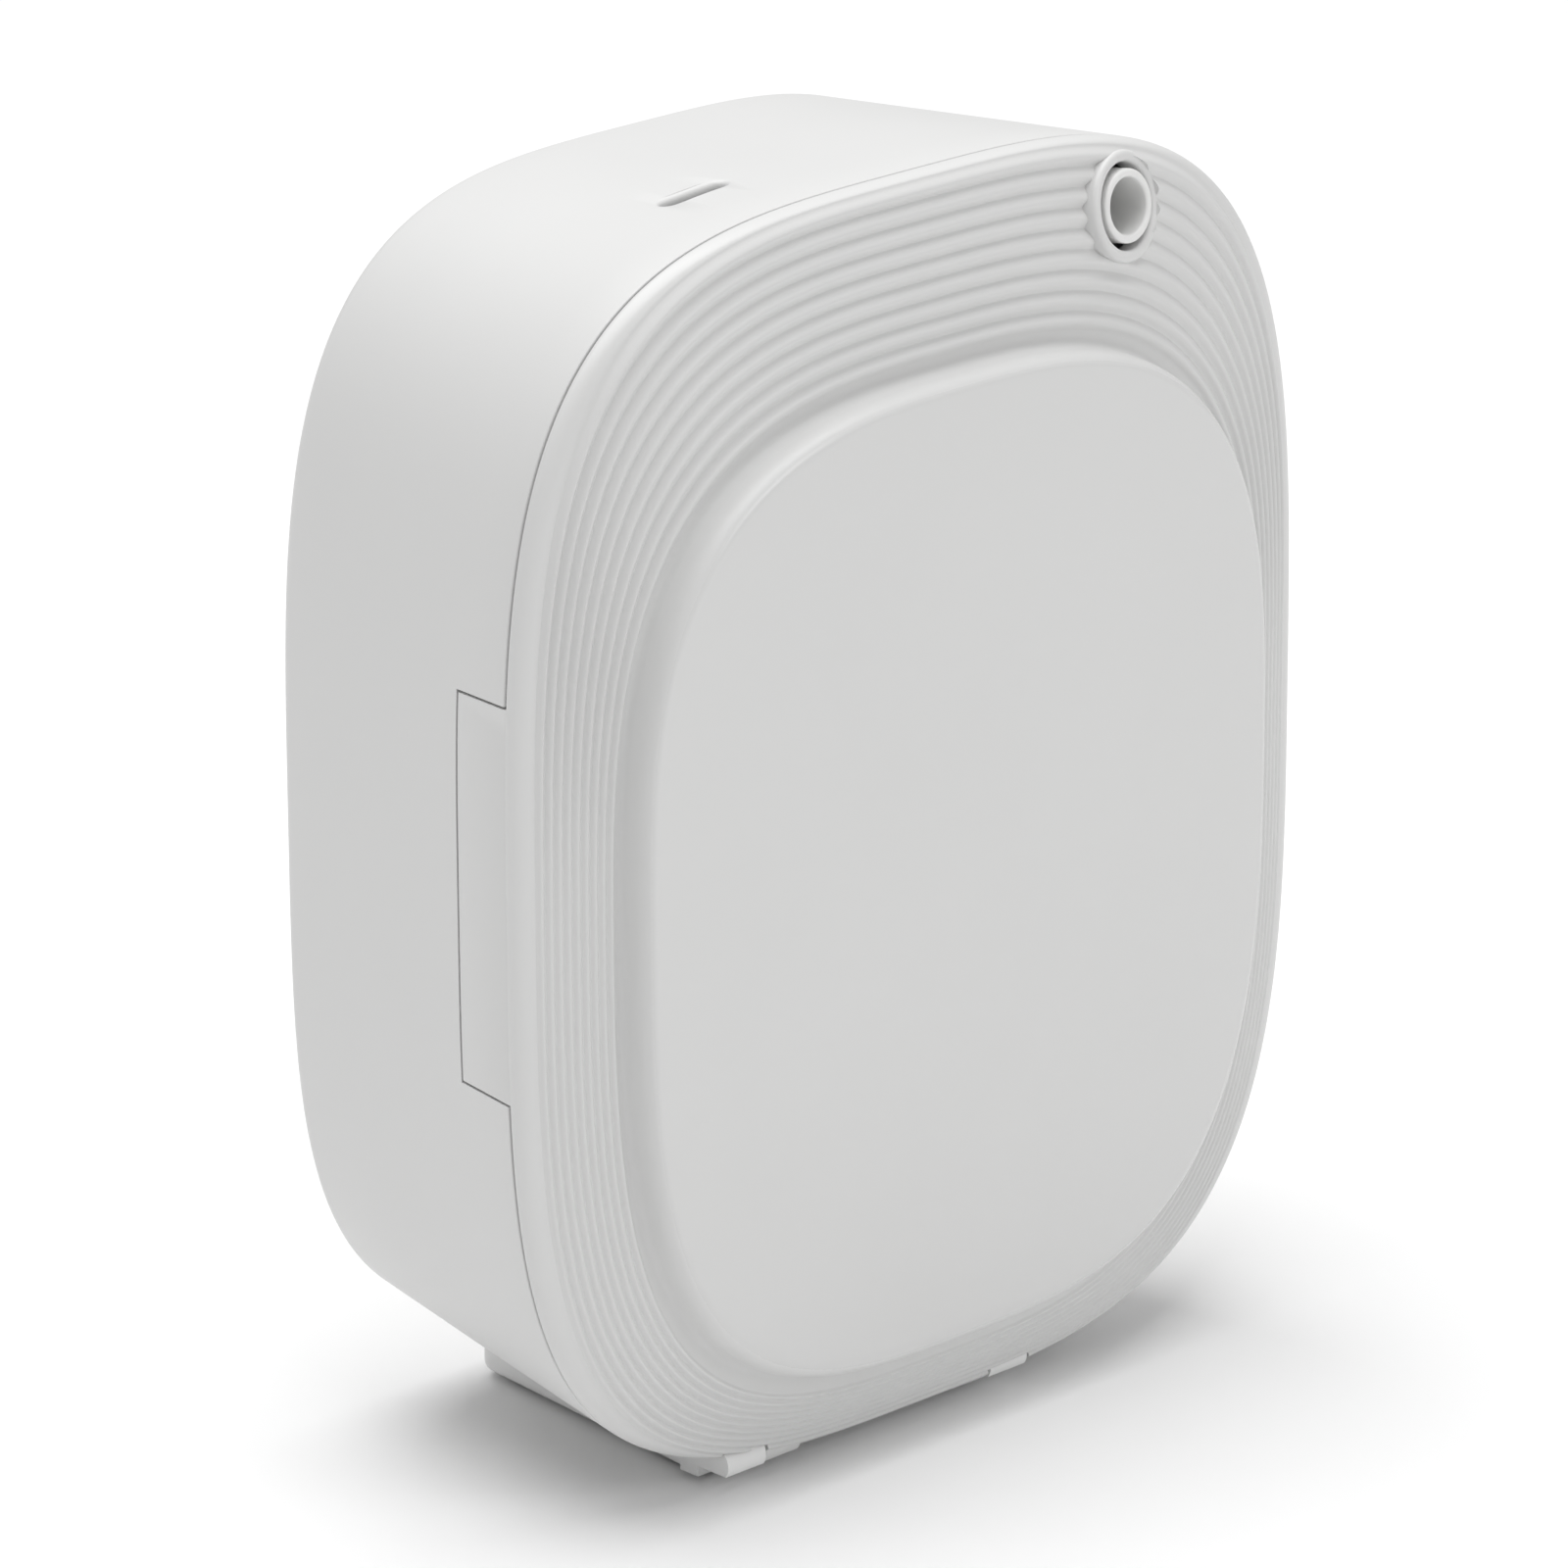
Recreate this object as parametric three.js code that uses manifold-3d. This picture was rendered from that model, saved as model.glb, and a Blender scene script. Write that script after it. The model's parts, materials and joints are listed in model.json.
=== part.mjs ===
// Wall-mounted scent diffuser: a squircle housing with a bottom-hinged front cover, an oil bottle
// with an atomiser head and outlet tube, an air pump, batteries, a keypad and a key-operated latch.
// Millimetres. X is to the right, Y runs from the front to the back, Z is up.
// Inside the inner group the parting plane between cover and housing is y = 0, with its centre at
// x = 0, z = 0. That group is moved so that the rubber pads stand on z = 0 and the model's origin is
// under the middle of its bounding box.

import * as THREE from 'three';
import { mergeVertices } from 'three/addons/utils/BufferGeometryUtils.js';
import Module from 'manifold-3d';

const wasm = await Module();
wasm.setup();

// ---------------------------------------------------------------- driving sizes

// Half the width and the height above the middle, which every outline follows.
const HALF_WIDTH = 88;
const TOP = 105;

// Outline at the parting plane, and at the back of the housing.
const SEAM = { half: HALF_WIDTH, top: TOP, bottom: TOP + 0.8, squareTop: 3.5, squareBottom: 3.5 };
const BACK = { half: HALF_WIDTH - 11, top: TOP - 5, bottom: TOP - 8, squareTop: 3.5, squareBottom: 3.8 };
const HOUSING_DEPTH = 66.4;
const BACK_ROUND = 3.5;
const WALL = 2.4;
const SEAM_GAP = 0.6;

// Front cover: outline of the outermost and innermost groove, and of the flat raised panel.
const RIM = {
  half: HALF_WIDTH - 3.4, top: TOP - 0.8, bottom: TOP + 0.6, squareTop: 3.45, squareBottom: 3.4,
};
const VALLEY = {
  half: HALF_WIDTH - 16.2, top: TOP - 29.2, bottom: TOP - 9.4, squareTop: 2.9, squareBottom: 3.25,
};
const PANEL = {
  half: HALF_WIDTH - 19.5, top: TOP - 34, bottom: TOP - 17, squareTop: 2.85, squareBottom: 3.1,
};
const RIM_DEPTH = 3.2;
const VALLEY_DEPTH = 7.6;
const PANEL_DEPTH = 14;
const GROOVES = 10;
const RIB_HEIGHT = 0.6;

// Side tabs of the cover, which reach back into notches in the housing.
const TAB_TOP = 34.6;
const TAB_BOTTOM = -30.3;
const TAB_REACH = 13.4;
const TAB_GAP = 0.5;

// Outlet port in the cover and the tube that ends in it.
const TUBE_OUTER = 12.2;
const TUBE_WALL = 1.4;
const PORT_X = 43.5;
const PORT_Z = TOP - 13.7;
const PORT_GAP = 1.1;
const PORT_BEAD = 2;
const PORT_PROUD = 1.2;
const PORT_ROOT = 0.6;
const PORT_LEAN_X = 0.2;
const PORT_LEAN_Z = 0.19;
const TUBE_LEAN_X = 0.12;
const TUBE_LEAN_Z = 0.15;

// Foot, rubber pads and the cover's hinge.
const FOOT_FRONT_HALF = 45;
const FOOT_BACK_HALF = 40;
const FOOT_FRONT_Y = 3.4;
const FOOT_BACK_Y = 62;
const FOOT_ROUND = 3;
const FOOT_FRONT_RIGHT_ROUND = 10;
const FOOT_SCREW_SINK = 2.2;
const FOOT_DROP = 1.9;
const PAD_RADIUS = 6;
const PAD_SINK = 1;
const PAD_PROUD = 1;
const HINGE_Y = -1;
const HINGE_LIFT = 1.7;
const HINGE_OUTER_LEFT = FOOT_FRONT_HALF - 0.3;
const HINGE_OUTER_RIGHT = 24;
const BARREL_RADIUS = 3;
const BARREL_LENGTH = 8.5;
const KNUCKLE_RADIUS = 2.6;
const KNUCKLE_LENGTH = 7.6;
const HINGE_PIN = 2;
const PIN_END_WALL = 1.2;
const HINGE_GAP = 0.5;

// Key slot and latch.
const KEY_X = -28;
const KEY_Y = 20;
const KEY_SLOT_LENGTH = 13.5;
const KEY_SLOT_WIDTH = 3;
const LATCH_TRAVEL = 3;
const LATCH_WIDTH = 12;
const CATCH = 2;
const STRIKER_CLEAR = 0.7;
const TOOTH_DEPTH = 2.5;
const STRIKER_Z = TOP - 11.5;
const STRIKER_THICK = 2;

// Inner deck with the bottle bay, display, keys and switch.
const DECK_Y = 9;
const DECK_THICK = 2;
const DECK_GAP = 0.6;
const DIVIDER = 1.6;
const SHELF_Z = -84;
const SHELF_RIGHT = 54;
const SHELF_BACK_Y = 58;
const DISPLAY = { x: -38, z: 58, width: 42, height: 20 };
const KEYS = 4;
const KEY_CAP_RADIUS = 4;
const KEY_PITCH = 13;
const KEYS_Z = 36;
const KEY_CAP_TRAVEL = 0.6;
const STANDOFF_RADIUS = 2.6;
const SWITCH_WALL = 1.2;
const SWITCH = { x: -57, z: 10, width: 12, height: 18, depth: 14, tilt: 8 };

// Bottle, collar and atomiser head share one upright axis.
const BOTTLE_X = 36;
const BOTTLE_Y = 34;
const BOTTLE_RADIUS = 25.6;
const BOTTLE_BODY = 92;
const SHOULDER_RISE = 8;
const BOTTLE_NECK_RADIUS = 14;
const BOTTLE_NECK = 13;
const BOTTLE_WALL = 1.6;
const COLLAR_HEIGHT = 22;
const COLLAR_GRIP = 10;
const HEAD_RADIUS = 18;
const HEAD_SKIRT = 11;
const CHAMBER_RADIUS = 13;
const CHAMBER_HEIGHT = 15;
const BARB_LIFT = 5;
const MAT_THICK = 1.2;
const MAT_RADIUS = 20;
const SEAL_BORE = 9;
const SEAL_THICK = 2;
const SPIGOT_RADIUS = 3;
const SPIGOT_LENGTH = 5;
const RISER_RADIUS = 1.2;

// Air pump: a motor on an upright cradle, with a crank turning inside the pump head.
const PUMP_Y = 38;
const PUMP_Z = -52;
const MOTOR_RADIUS = 12;
const MOTOR_LEFT = -70;
const MOTOR_LENGTH = 32;
const PUMP_HEAD_SIZE = 28;
const PUMP_HEAD_LENGTH = 25;
const HOSE_RADIUS = 2.5;
const HOSE_BORE = 1.4;
const BARB_RADIUS = 2;
const BARB_LENGTH = 6;
const PUMP_BARB_RISE = 6;
const CRANK_ROOM = 10;
const CRANK_ROOM_RADIUS = 9;
const CRANK_THROW = 2.6;

// Battery holder with two cylindrical cells.
const CELL_RADIUS = 9.2;
const CELL_LENGTH = 65;
const CELL_PITCH = 2 * CELL_RADIUS + 2.6;
const HOLDER = { left: -74, y: 40, z: -1, wall: 2.2 };
const TRAY_GAP = 0.6;

// General clearances and fasteners.
const CLEAR = 0.3;
const SCREW_RADIUS = 1.3;
const SCREW_HEAD = 2.8;
const SCREW_HEAD_HEIGHT = 1.6;
const BOSS_RADIUS = 3.6;
const AROUND = 40;
const ROUND = 16;

// ---------------------------------------------------------------- places worked out from the sizes

const TUBE_BORE = TUBE_OUTER - 2 * TUBE_WALL;
const PORT_BORE = TUBE_OUTER + 2 * PORT_GAP;
const PORT_RING = PORT_BORE + 2 * PORT_BEAD;
const RAISE = SEAM.bottom + FOOT_DROP + PAD_PROUD;
const FOOT_BOTTOM = -(SEAM.bottom + FOOT_DROP);
const HINGE_Z = -(SEAM.bottom - HINGE_LIFT);
const DECK_BACK = DECK_Y + DECK_THICK;
// A tab's rear upper corner rises this much as it swings up to the height above the hinge.
const TAB_RISE = Math.hypot(TAB_REACH - HINGE_Y, TAB_TOP - HINGE_Z) - (TAB_TOP - HINGE_Z);
// The cover's lower lip sweeps this far round the hinge.
const LIP_SWEEP = Math.hypot(HINGE_Y, HINGE_LIFT);
const BOTTLE_BASE = SHELF_Z + MAT_THICK + CLEAR;
const SHOULDER_Z = BOTTLE_BASE + BOTTLE_BODY;
const NECK_TOP = SHOULDER_Z + SHOULDER_RISE + BOTTLE_NECK;
const COLLAR_BASE = NECK_TOP - COLLAR_GRIP;
const COLLAR_TOP = COLLAR_BASE + COLLAR_HEIGHT;
const HEAD_BASE = COLLAR_TOP + CLEAR;
const HEAD_TOP = HEAD_BASE + HEAD_SKIRT + CHAMBER_HEIGHT;
const BARB_Z = HEAD_BASE + BARB_LIFT;
const BARB_X = BOTTLE_X - HEAD_RADIUS;
const HOSE_ROOM = 8;
const DIVIDER_TOP = BARB_Z - HOSE_RADIUS - HOSE_ROOM;
const BAY = { left: BOTTLE_X - BOTTLE_RADIUS - 1, right: BOTTLE_X + BOTTLE_RADIUS + 3.4, top: 50 };

// ---------------------------------------------------------------- materials

function plastic(color, roughness) {
  return new THREE.MeshStandardMaterial({ color, roughness, metalness: 0 });
}

function metal(color, roughness) {
  return new THREE.MeshStandardMaterial({ color, roughness, metalness: 1 });
}

const whitePlastic = plastic(0xeeeeec, 0.42);
const innerWhite = plastic(0xe4e4e2, 0.5);
const greyPlastic = plastic(0x8d9094, 0.5);
const blackPlastic = plastic(0x1c1c1e, 0.5);
const rubber = plastic(0x2a2a2b, 0.85);
const milkyPlastic = plastic(0xdcdad2, 0.35);
const boardGreen = plastic(0x1f5a3a, 0.5);
const glassBlack = plastic(0x11161a, 0.12);
const cellWrap = plastic(0x2c5f9e, 0.4);
const steel = metal(0xb4b7ba, 0.32);
const motorSteel = metal(0x9a9da0, 0.4);

// ---------------------------------------------------------------- shape helpers

// A closed triangle surface becomes a solid for joining and cutting.
function solidOf(geometry) {
  const bare = geometry.clone();
  bare.deleteAttribute('normal');
  bare.deleteAttribute('uv');
  const merged = mergeVertices(bare, 1e-4);
  return new wasm.Manifold(new wasm.Mesh({
    numProp: 3,
    vertProperties: new Float32Array(merged.attributes.position.array),
    triVerts: new Uint32Array(merged.index.array),
  }));
}

function geometryOf(solid) {
  const mesh = solid.getMesh();
  const geometry = new THREE.BufferGeometry();
  const points = new Float32Array(mesh.numVert * 3);
  for (let i = 0; i < mesh.numVert; i += 1) {
    for (let axis = 0; axis < 3; axis += 1) {
      points[3 * i + axis] = mesh.vertProperties[i * mesh.numProp + axis];
    }
  }
  geometry.setAttribute('position', new THREE.BufferAttribute(points, 3));
  geometry.setIndex(new THREE.BufferAttribute(new Uint32Array(mesh.triVerts), 1));
  return geometry;
}

function join(first, ...others) {
  return others.reduce((sum, other) => sum.add(other), first);
}

function cut(first, ...others) {
  return others.reduce((rest, other) => rest.subtract(other), first);
}

// A box from its low and high corners.
function box(x0, x1, y0, y1, z0, z1) {
  const geometry = new THREE.BoxGeometry(x1 - x0, y1 - y0, z1 - z0);
  geometry.translate((x0 + x1) / 2, (y0 + y1) / 2, (z0 + z1) / 2);
  return solidOf(geometry);
}

// A round bar about the centre of its length, along x, y or z.
function bar(axis, radius, low, high, u, v, segments = ROUND) {
  const geometry = new THREE.CylinderGeometry(radius, radius, high - low, segments);
  const middle = (low + high) / 2;
  if (axis === 'x') {
    geometry.rotateZ(Math.PI / 2);
    geometry.translate(middle, u, v);
  } else if (axis === 'y') {
    geometry.translate(u, middle, v);
  } else {
    geometry.rotateX(Math.PI / 2);
    geometry.translate(u, v, middle);
  }
  return solidOf(geometry);
}

// A round bar along any direction, from one point.
function barAlong(radius, from, direction, length, segments = ROUND) {
  const geometry = new THREE.CylinderGeometry(radius, radius, length, segments);
  geometry.translate(0, length / 2, 0);
  const turn = new THREE.Quaternion().setFromUnitVectors(new THREE.Vector3(0, 1, 0), direction);
  geometry.applyQuaternion(turn);
  geometry.translate(from.x, from.y, from.z);
  return solidOf(geometry);
}

// A turned piece about an upright axis at x, y, from pairs of radius and height.
function turned(profile, x, y, segments = ROUND) {
  const points = profile.map(([radius, height]) => new THREE.Vector2(radius, height));
  const geometry = new THREE.LatheGeometry(points, segments);
  geometry.rotateX(Math.PI / 2);
  geometry.translate(x, y, 0);
  return solidOf(geometry);
}

function roundedRectangle(x0, x1, z0, z1, radius) {
  const shape = new THREE.Shape();
  shape.moveTo(x0 + radius, z0);
  shape.lineTo(x1 - radius, z0);
  shape.absarc(x1 - radius, z0 + radius, radius, -Math.PI / 2, 0, false);
  shape.lineTo(x1, z1 - radius);
  shape.absarc(x1 - radius, z1 - radius, radius, 0, Math.PI / 2, false);
  shape.lineTo(x0 + radius, z1);
  shape.absarc(x0 + radius, z1 - radius, radius, Math.PI / 2, Math.PI, false);
  shape.lineTo(x0, z0 + radius);
  shape.absarc(x0 + radius, z0 + radius, radius, Math.PI, 1.5 * Math.PI, false);
  return shape;
}

// A flat plate whose outline lies in x and z, from y0 at the front to y1 at the back.
function plate(shape, y0, y1, curveSegments = 4) {
  const settings = { depth: y1 - y0, bevelEnabled: false, curveSegments };
  const geometry = new THREE.ExtrudeGeometry(shape, settings);
  geometry.rotateX(Math.PI / 2);
  geometry.translate(0, y1, 0);
  return solidOf(geometry);
}

// A slab with its outline given by corners in y and z, from x0 to x1.
function slab(corners, x0, x1) {
  const shape = new THREE.Shape(corners.map(([y, z]) => new THREE.Vector2(y, z)));
  const geometry = new THREE.ExtrudeGeometry(shape, { depth: x1 - x0, bevelEnabled: false });
  const turn = new THREE.Matrix4().makeBasis(
    new THREE.Vector3(0, 1, 0), new THREE.Vector3(0, 0, 1), new THREE.Vector3(1, 0, 0));
  geometry.applyMatrix4(turn);
  geometry.translate(x0, 0, 0);
  return solidOf(geometry);
}

// One point of a squircle outline whose top and bottom halves may differ.
function outlinePoint(outline, angle) {
  const cosine = Math.cos(angle);
  const sine = Math.sin(angle);
  const square = sine >= 0 ? outline.squareTop : outline.squareBottom;
  const height = sine >= 0 ? outline.top : outline.bottom;
  const x = outline.half * Math.sign(cosine) * Math.abs(cosine) ** (2 / square);
  const z = height * Math.sign(sine) * Math.abs(sine) ** (2 / square);
  return new THREE.Vector2(x, z);
}

function outlineLoop(outline, y) {
  return Array.from({ length: AROUND }, (unused, i) => {
    const point = outlinePoint(outline, (2 * Math.PI * i) / AROUND);
    return new THREE.Vector3(point.x, y, point.y);
  });
}

function blend(from, to, share) {
  const mixed = {};
  for (const key of Object.keys(from)) {
    mixed[key] = THREE.MathUtils.lerp(from[key], to[key], share);
  }
  return mixed;
}

function inset(outline, distance) {
  return {
    ...outline,
    half: outline.half - distance,
    top: outline.top - distance,
    bottom: outline.bottom - distance,
  };
}

// Volume inside a closed skin; it is negative when the faces point inwards.
function enclosedVolume(points, index) {
  let sum = 0;
  for (let i = 0; i < index.length; i += 3) {
    const [a, b, c] = [points[index[i]], points[index[i + 1]], points[index[i + 2]]];
    sum += a.dot(new THREE.Vector3().crossVectors(b, c)) / 6;
  }
  return sum;
}

// A skin stretched over loops of points, closed at both ends with a fan of triangles.
function loft(loops) {
  const count = loops[0].length;
  const centre = (loop) => loop
    .reduce((sum, point) => sum.add(point), new THREE.Vector3())
    .divideScalar(count);
  const points = [centre(loops[0]), ...loops.flat(), centre(loops[loops.length - 1])];
  const last = points.length - 1;
  const index = [];
  for (let i = 0; i < count; i += 1) {
    const next = (i + 1) % count;
    index.push(0, 1 + next, 1 + i);
    for (let row = 0; row < loops.length - 1; row += 1) {
      const here = 1 + row * count;
      const there = here + count;
      index.push(here + i, here + next, there + next);
      index.push(here + i, there + next, there + i);
    }
    const end = 1 + (loops.length - 1) * count;
    index.push(end + i, end + next, last);
  }
  const geometry = new THREE.BufferGeometry();
  const flat = points.flatMap((point) => [point.x, point.y, point.z]);
  geometry.setAttribute('position', new THREE.Float32BufferAttribute(flat, 3));
  geometry.setIndex(enclosedVolume(points, index) < 0 ? index.reverse() : index);
  return solidOf(geometry);
}

// A pipe along a curve; with no bore it is a rod.
function pipe(curve, outer, bore, steps, sides = 16) {
  const shape = new THREE.Shape();
  shape.absarc(0, 0, outer, 0, 2 * Math.PI, false);
  if (bore > 0) {
    const hole = new THREE.Path();
    hole.absarc(0, 0, bore, 0, 2 * Math.PI, true);
    shape.holes.push(hole);
  }
  const settings = { steps, extrudePath: curve, curveSegments: sides, bevelEnabled: false };
  return solidOf(new THREE.ExtrudeGeometry(shape, settings));
}

// ---------------------------------------------------------------- scene

const model = new THREE.Group();
const body = new THREE.Group();
body.position.set(0, -(HOUSING_DEPTH - PANEL_DEPTH) / 2, RAISE);
model.add(body);

function piece(name, solid, material, parent = body) {
  const mesh = new THREE.Mesh(geometryOf(solid), material.clone());
  mesh.name = name;
  parent.add(mesh);
  return mesh;
}

// A pan-head screw that points along +y from under its head, at the place of its head's seat.
function screw(name, x, y, z, length, flip = 1) {
  const head = SCREW_HEAD_HEIGHT;
  const profile = [[0, -head], [SCREW_HEAD * 0.8, -head], [SCREW_HEAD, -head * 0.5], [SCREW_HEAD, 0],
    [SCREW_RADIUS, 0], [SCREW_RADIUS, length], [0, length]];
  const points = profile.map(([radius, height]) => new THREE.Vector2(radius, height));
  const geometry = new THREE.LatheGeometry(points, 10);
  const mesh = piece(name, solidOf(geometry), steel);
  mesh.position.set(x, y, z);
  mesh.rotation.z = flip < 0 ? Math.PI : 0;
  return mesh;
}

// ---------------------------------------------------------------- housing

// Outline of the housing's outside at a depth behind the parting plane.
function housingOutline(y) {
  return blend(SEAM, BACK, y / HOUSING_DEPTH);
}

// The housing's full outer form, pushed out by a distance, for cutting what fits against it.
function housingForm(out, frontY, roundSteps = 3) {
  const loops = [outlineLoop(inset(housingOutline(frontY), -out), frontY)];
  for (let i = 0; i <= roundSteps; i += 1) {
    const angle = (i / roundSteps) * (Math.PI / 2);
    const y = HOUSING_DEPTH + out - BACK_ROUND * (1 - Math.sin(angle));
    const pulled = BACK_ROUND * (1 - Math.cos(angle)) - out;
    loops.push(outlineLoop(inset(housingOutline(y), pulled), y));
  }
  return loft(loops);
}

function housingSkin(frontY) {
  const inner = [outlineLoop(inset(housingOutline(frontY), WALL), frontY - 1),
    outlineLoop(inset(housingOutline(HOUSING_DEPTH), WALL), HOUSING_DEPTH - WALL - BACK_ROUND / 2),
    outlineLoop(inset(housingOutline(HOUSING_DEPTH), WALL + BACK_ROUND / 2), HOUSING_DEPTH - WALL)];
  return cut(housingForm(0, frontY), loft(inner));
}

const INNER_BACK = HOUSING_DEPTH - WALL;
const deckScrewPlaces = [[-HALF_WIDTH + 15, 58], [HALF_WIDTH - 17, 62], [-HALF_WIDTH + 15, -32],
  [HALF_WIDTH - 17, -44]];
const cradleScrewPlaces = [-22, 22].map((offset) => [MOTOR_LEFT + MOTOR_LENGTH / 2, PUMP_Z + offset]);
const footScrewPlaces = [[-24, 40], [24, 40]];
const keyholePlaces = [-50, 50];
const KEYHOLE_Z = TOP - 29;
const KEYHOLE = { head: 4.6, neck: 2.3, rise: 11 };
const JACK = { x: -26, z: -84, radius: 4, body: 9, length: 12 };

function keySlotCutter(length, width, z0, z1) {
  const slot = new THREE.Shape();
  const reach = length / 2 - width / 2;
  slot.absarc(reach, 0, width / 2, -Math.PI / 2, Math.PI / 2, false);
  slot.absarc(-reach, 0, width / 2, Math.PI / 2, 1.5 * Math.PI, false);
  const settings = { depth: z1 - z0, bevelEnabled: false, curveSegments: 8 };
  const geometry = new THREE.ExtrudeGeometry(slot, settings);
  geometry.translate(KEY_X, KEY_Y, z0);
  return solidOf(geometry);
}

// The two halves of the hinge. The foot's barrel is the outer one on each, and the cover's knuckle
// is beside it; all distances are measured outwards from the middle.
const hinges = [[-1, HINGE_OUTER_LEFT], [1, HINGE_OUTER_RIGHT]].map(([side, barrelOuter]) => {
  const barrelInner = barrelOuter - BARREL_LENGTH;
  const knuckleOuter = barrelInner - HINGE_GAP;
  const knuckleInner = knuckleOuter - KNUCKLE_LENGTH;
  return { side, barrelOuter, barrelInner, knuckleOuter, knuckleInner };
});

function hingeBar(radius, side, from, to, segments = ROUND) {
  const low = side > 0 ? from : -to;
  const high = side > 0 ? to : -from;
  return bar('x', radius, low, high, HINGE_Y, HINGE_Z, segments);
}

// Room round the hinge in the housing's edge, for the barrels, the knuckles and the cover's lip.
function hingeRoom() {
  const rooms = hinges.map(({ side, knuckleInner, barrelOuter }) => hingeBar(
    BARREL_RADIUS + HINGE_GAP, side, knuckleInner - HINGE_GAP, barrelOuter + HINGE_GAP));
  const lip = bar('x', LIP_SWEEP + CLEAR, -FOOT_FRONT_HALF, FOOT_FRONT_HALF, HINGE_Y, HINGE_Z, 24);
  return [...rooms, lip];
}

// The side view of a tab, or with a gap of the notch that it lies in, from a front plane to the back.
function tabSide(front, gap) {
  return [[front, TAB_BOTTOM - gap], [TAB_REACH + gap, TAB_BOTTOM - gap], [TAB_REACH + gap, TAB_TOP + gap],
    [0, TAB_TOP + TAB_RISE + gap], [front, TAB_TOP + TAB_RISE + gap]];
}

function tabSlabs(front, gap) {
  const reach = SEAM.half + 10;
  return [[-reach, -PANEL.half], [PANEL.half, reach]].map(([x0, x1]) => slab(tabSide(front, gap), x0, x1));
}

function rearHousing() {
  let solid = housingSkin(SEAM_GAP);
  const bosses = deckScrewPlaces.map(([x, z]) =>
    bar('y', BOSS_RADIUS, DECK_BACK + CLEAR, INNER_BACK + WALL / 2, x, z, 16));
  const cradleBosses = cradleScrewPlaces.map(([x, z]) =>
    bar('y', BOSS_RADIUS, INNER_BACK - 4, INNER_BACK + WALL / 2, x, z, 16));
  const insideForm = housingForm(-WALL / 2, SEAM_GAP);
  solid = join(solid, join(...bosses, ...cradleBosses).intersect(insideForm));
  const pilots = deckScrewPlaces.map(([x, z]) =>
    bar('y', SCREW_RADIUS + CLEAR, DECK_Y, DECK_BACK + 16, x, z, 12));
  const cradlePilots = cradleScrewPlaces.map(([x, z]) =>
    bar('y', SCREW_RADIUS + CLEAR, INNER_BACK - 6, INNER_BACK + 0.4, x, z, 12));
  const footPilots = footScrewPlaces.map(([x, y]) =>
    bar('z', SCREW_RADIUS + CLEAR, FOOT_BOTTOM, -BACK.bottom + WALL + 6, x, y, 12));
  const notches = tabSlabs(-2, TAB_GAP);
  const slot = keySlotCutter(KEY_SLOT_LENGTH, KEY_SLOT_WIDTH, STRIKER_Z, SEAM.top + 2);
  const keyholes = keyholePlaces.flatMap((x) => [
    bar('y', KEYHOLE.head, INNER_BACK - 1, HOUSING_DEPTH + 1, x, KEYHOLE_Z, 20),
    plate(roundedRectangle(x - KEYHOLE.neck, x + KEYHOLE.neck, KEYHOLE_Z, KEYHOLE_Z + KEYHOLE.rise,
      KEYHOLE.neck - 0.1), INNER_BACK - 1, HOUSING_DEPTH + 1)]);
  const jackHole = bar('y', JACK.radius + CLEAR, INNER_BACK - 1, HOUSING_DEPTH + 1, JACK.x, JACK.z, 20);
  return cut(solid, ...pilots, ...cradlePilots, ...footPilots, ...notches, slot, ...keyholes,
    jackHole, ...hingeRoom());
}

piece('rear_housing', rearHousing(), whitePlastic);

// ---------------------------------------------------------------- front cover

// Outline and depth of the ribbed surface, from 0 at the rim to 1 at the foot of the panel.
function ribbedDepth(share) {
  return -THREE.MathUtils.lerp(RIM_DEPTH, VALLEY_DEPTH, 1.35 * share - 0.35 * share * share);
}

function coverForm() {
  const back = [
    outlineLoop(inset(SEAM, WALL), 0),
    outlineLoop(inset(SEAM, WALL), -RIM_DEPTH + WALL),
    outlineLoop(inset(VALLEY, WALL / 2), -VALLEY_DEPTH + WALL + 0.2),
    outlineLoop(inset(PANEL, WALL), -PANEL_DEPTH + WALL + 1.2),
    outlineLoop(inset(PANEL, WALL + 1.2), -PANEL_DEPTH + WALL),
  ];
  const front = [
    outlineLoop(SEAM, 0),
    outlineLoop(inset(SEAM, 0.2), -1.2),
    outlineLoop(inset(SEAM, 1), -2.2),
  ];
  const pitch = 1 / (GROOVES - 1);
  for (let groove = 0; groove < GROOVES; groove += 1) {
    const share = groove * pitch;
    front.push(outlineLoop(blend(RIM, VALLEY, share), ribbedDepth(share)));
    if (groove < GROOVES - 1) {
      const crest = share + pitch / 2;
      front.push(outlineLoop(blend(RIM, VALLEY, crest), ribbedDepth(crest) - RIB_HEIGHT));
    }
  }
  for (let i = 1; i <= 4; i += 1) {
    const angle = (i / 4) * (Math.PI / 2);
    const outline = blend(VALLEY, PANEL, 1 - Math.cos(angle));
    const depth = THREE.MathUtils.lerp(VALLEY_DEPTH, PANEL_DEPTH, Math.sin(angle));
    front.push(outlineLoop(outline, -depth));
  }
  return loft([...back.reverse(), ...front]);
}

const portAxis = new THREE.Vector3(PORT_LEAN_X, -1, PORT_LEAN_Z).normalize();
const portCentre = new THREE.Vector3(PORT_X, ribbedDepth(0.27) - RIB_HEIGHT / 2, PORT_Z);

function alongPort(distance) {
  return portCentre.clone().addScaledVector(portAxis, distance);
}

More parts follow.
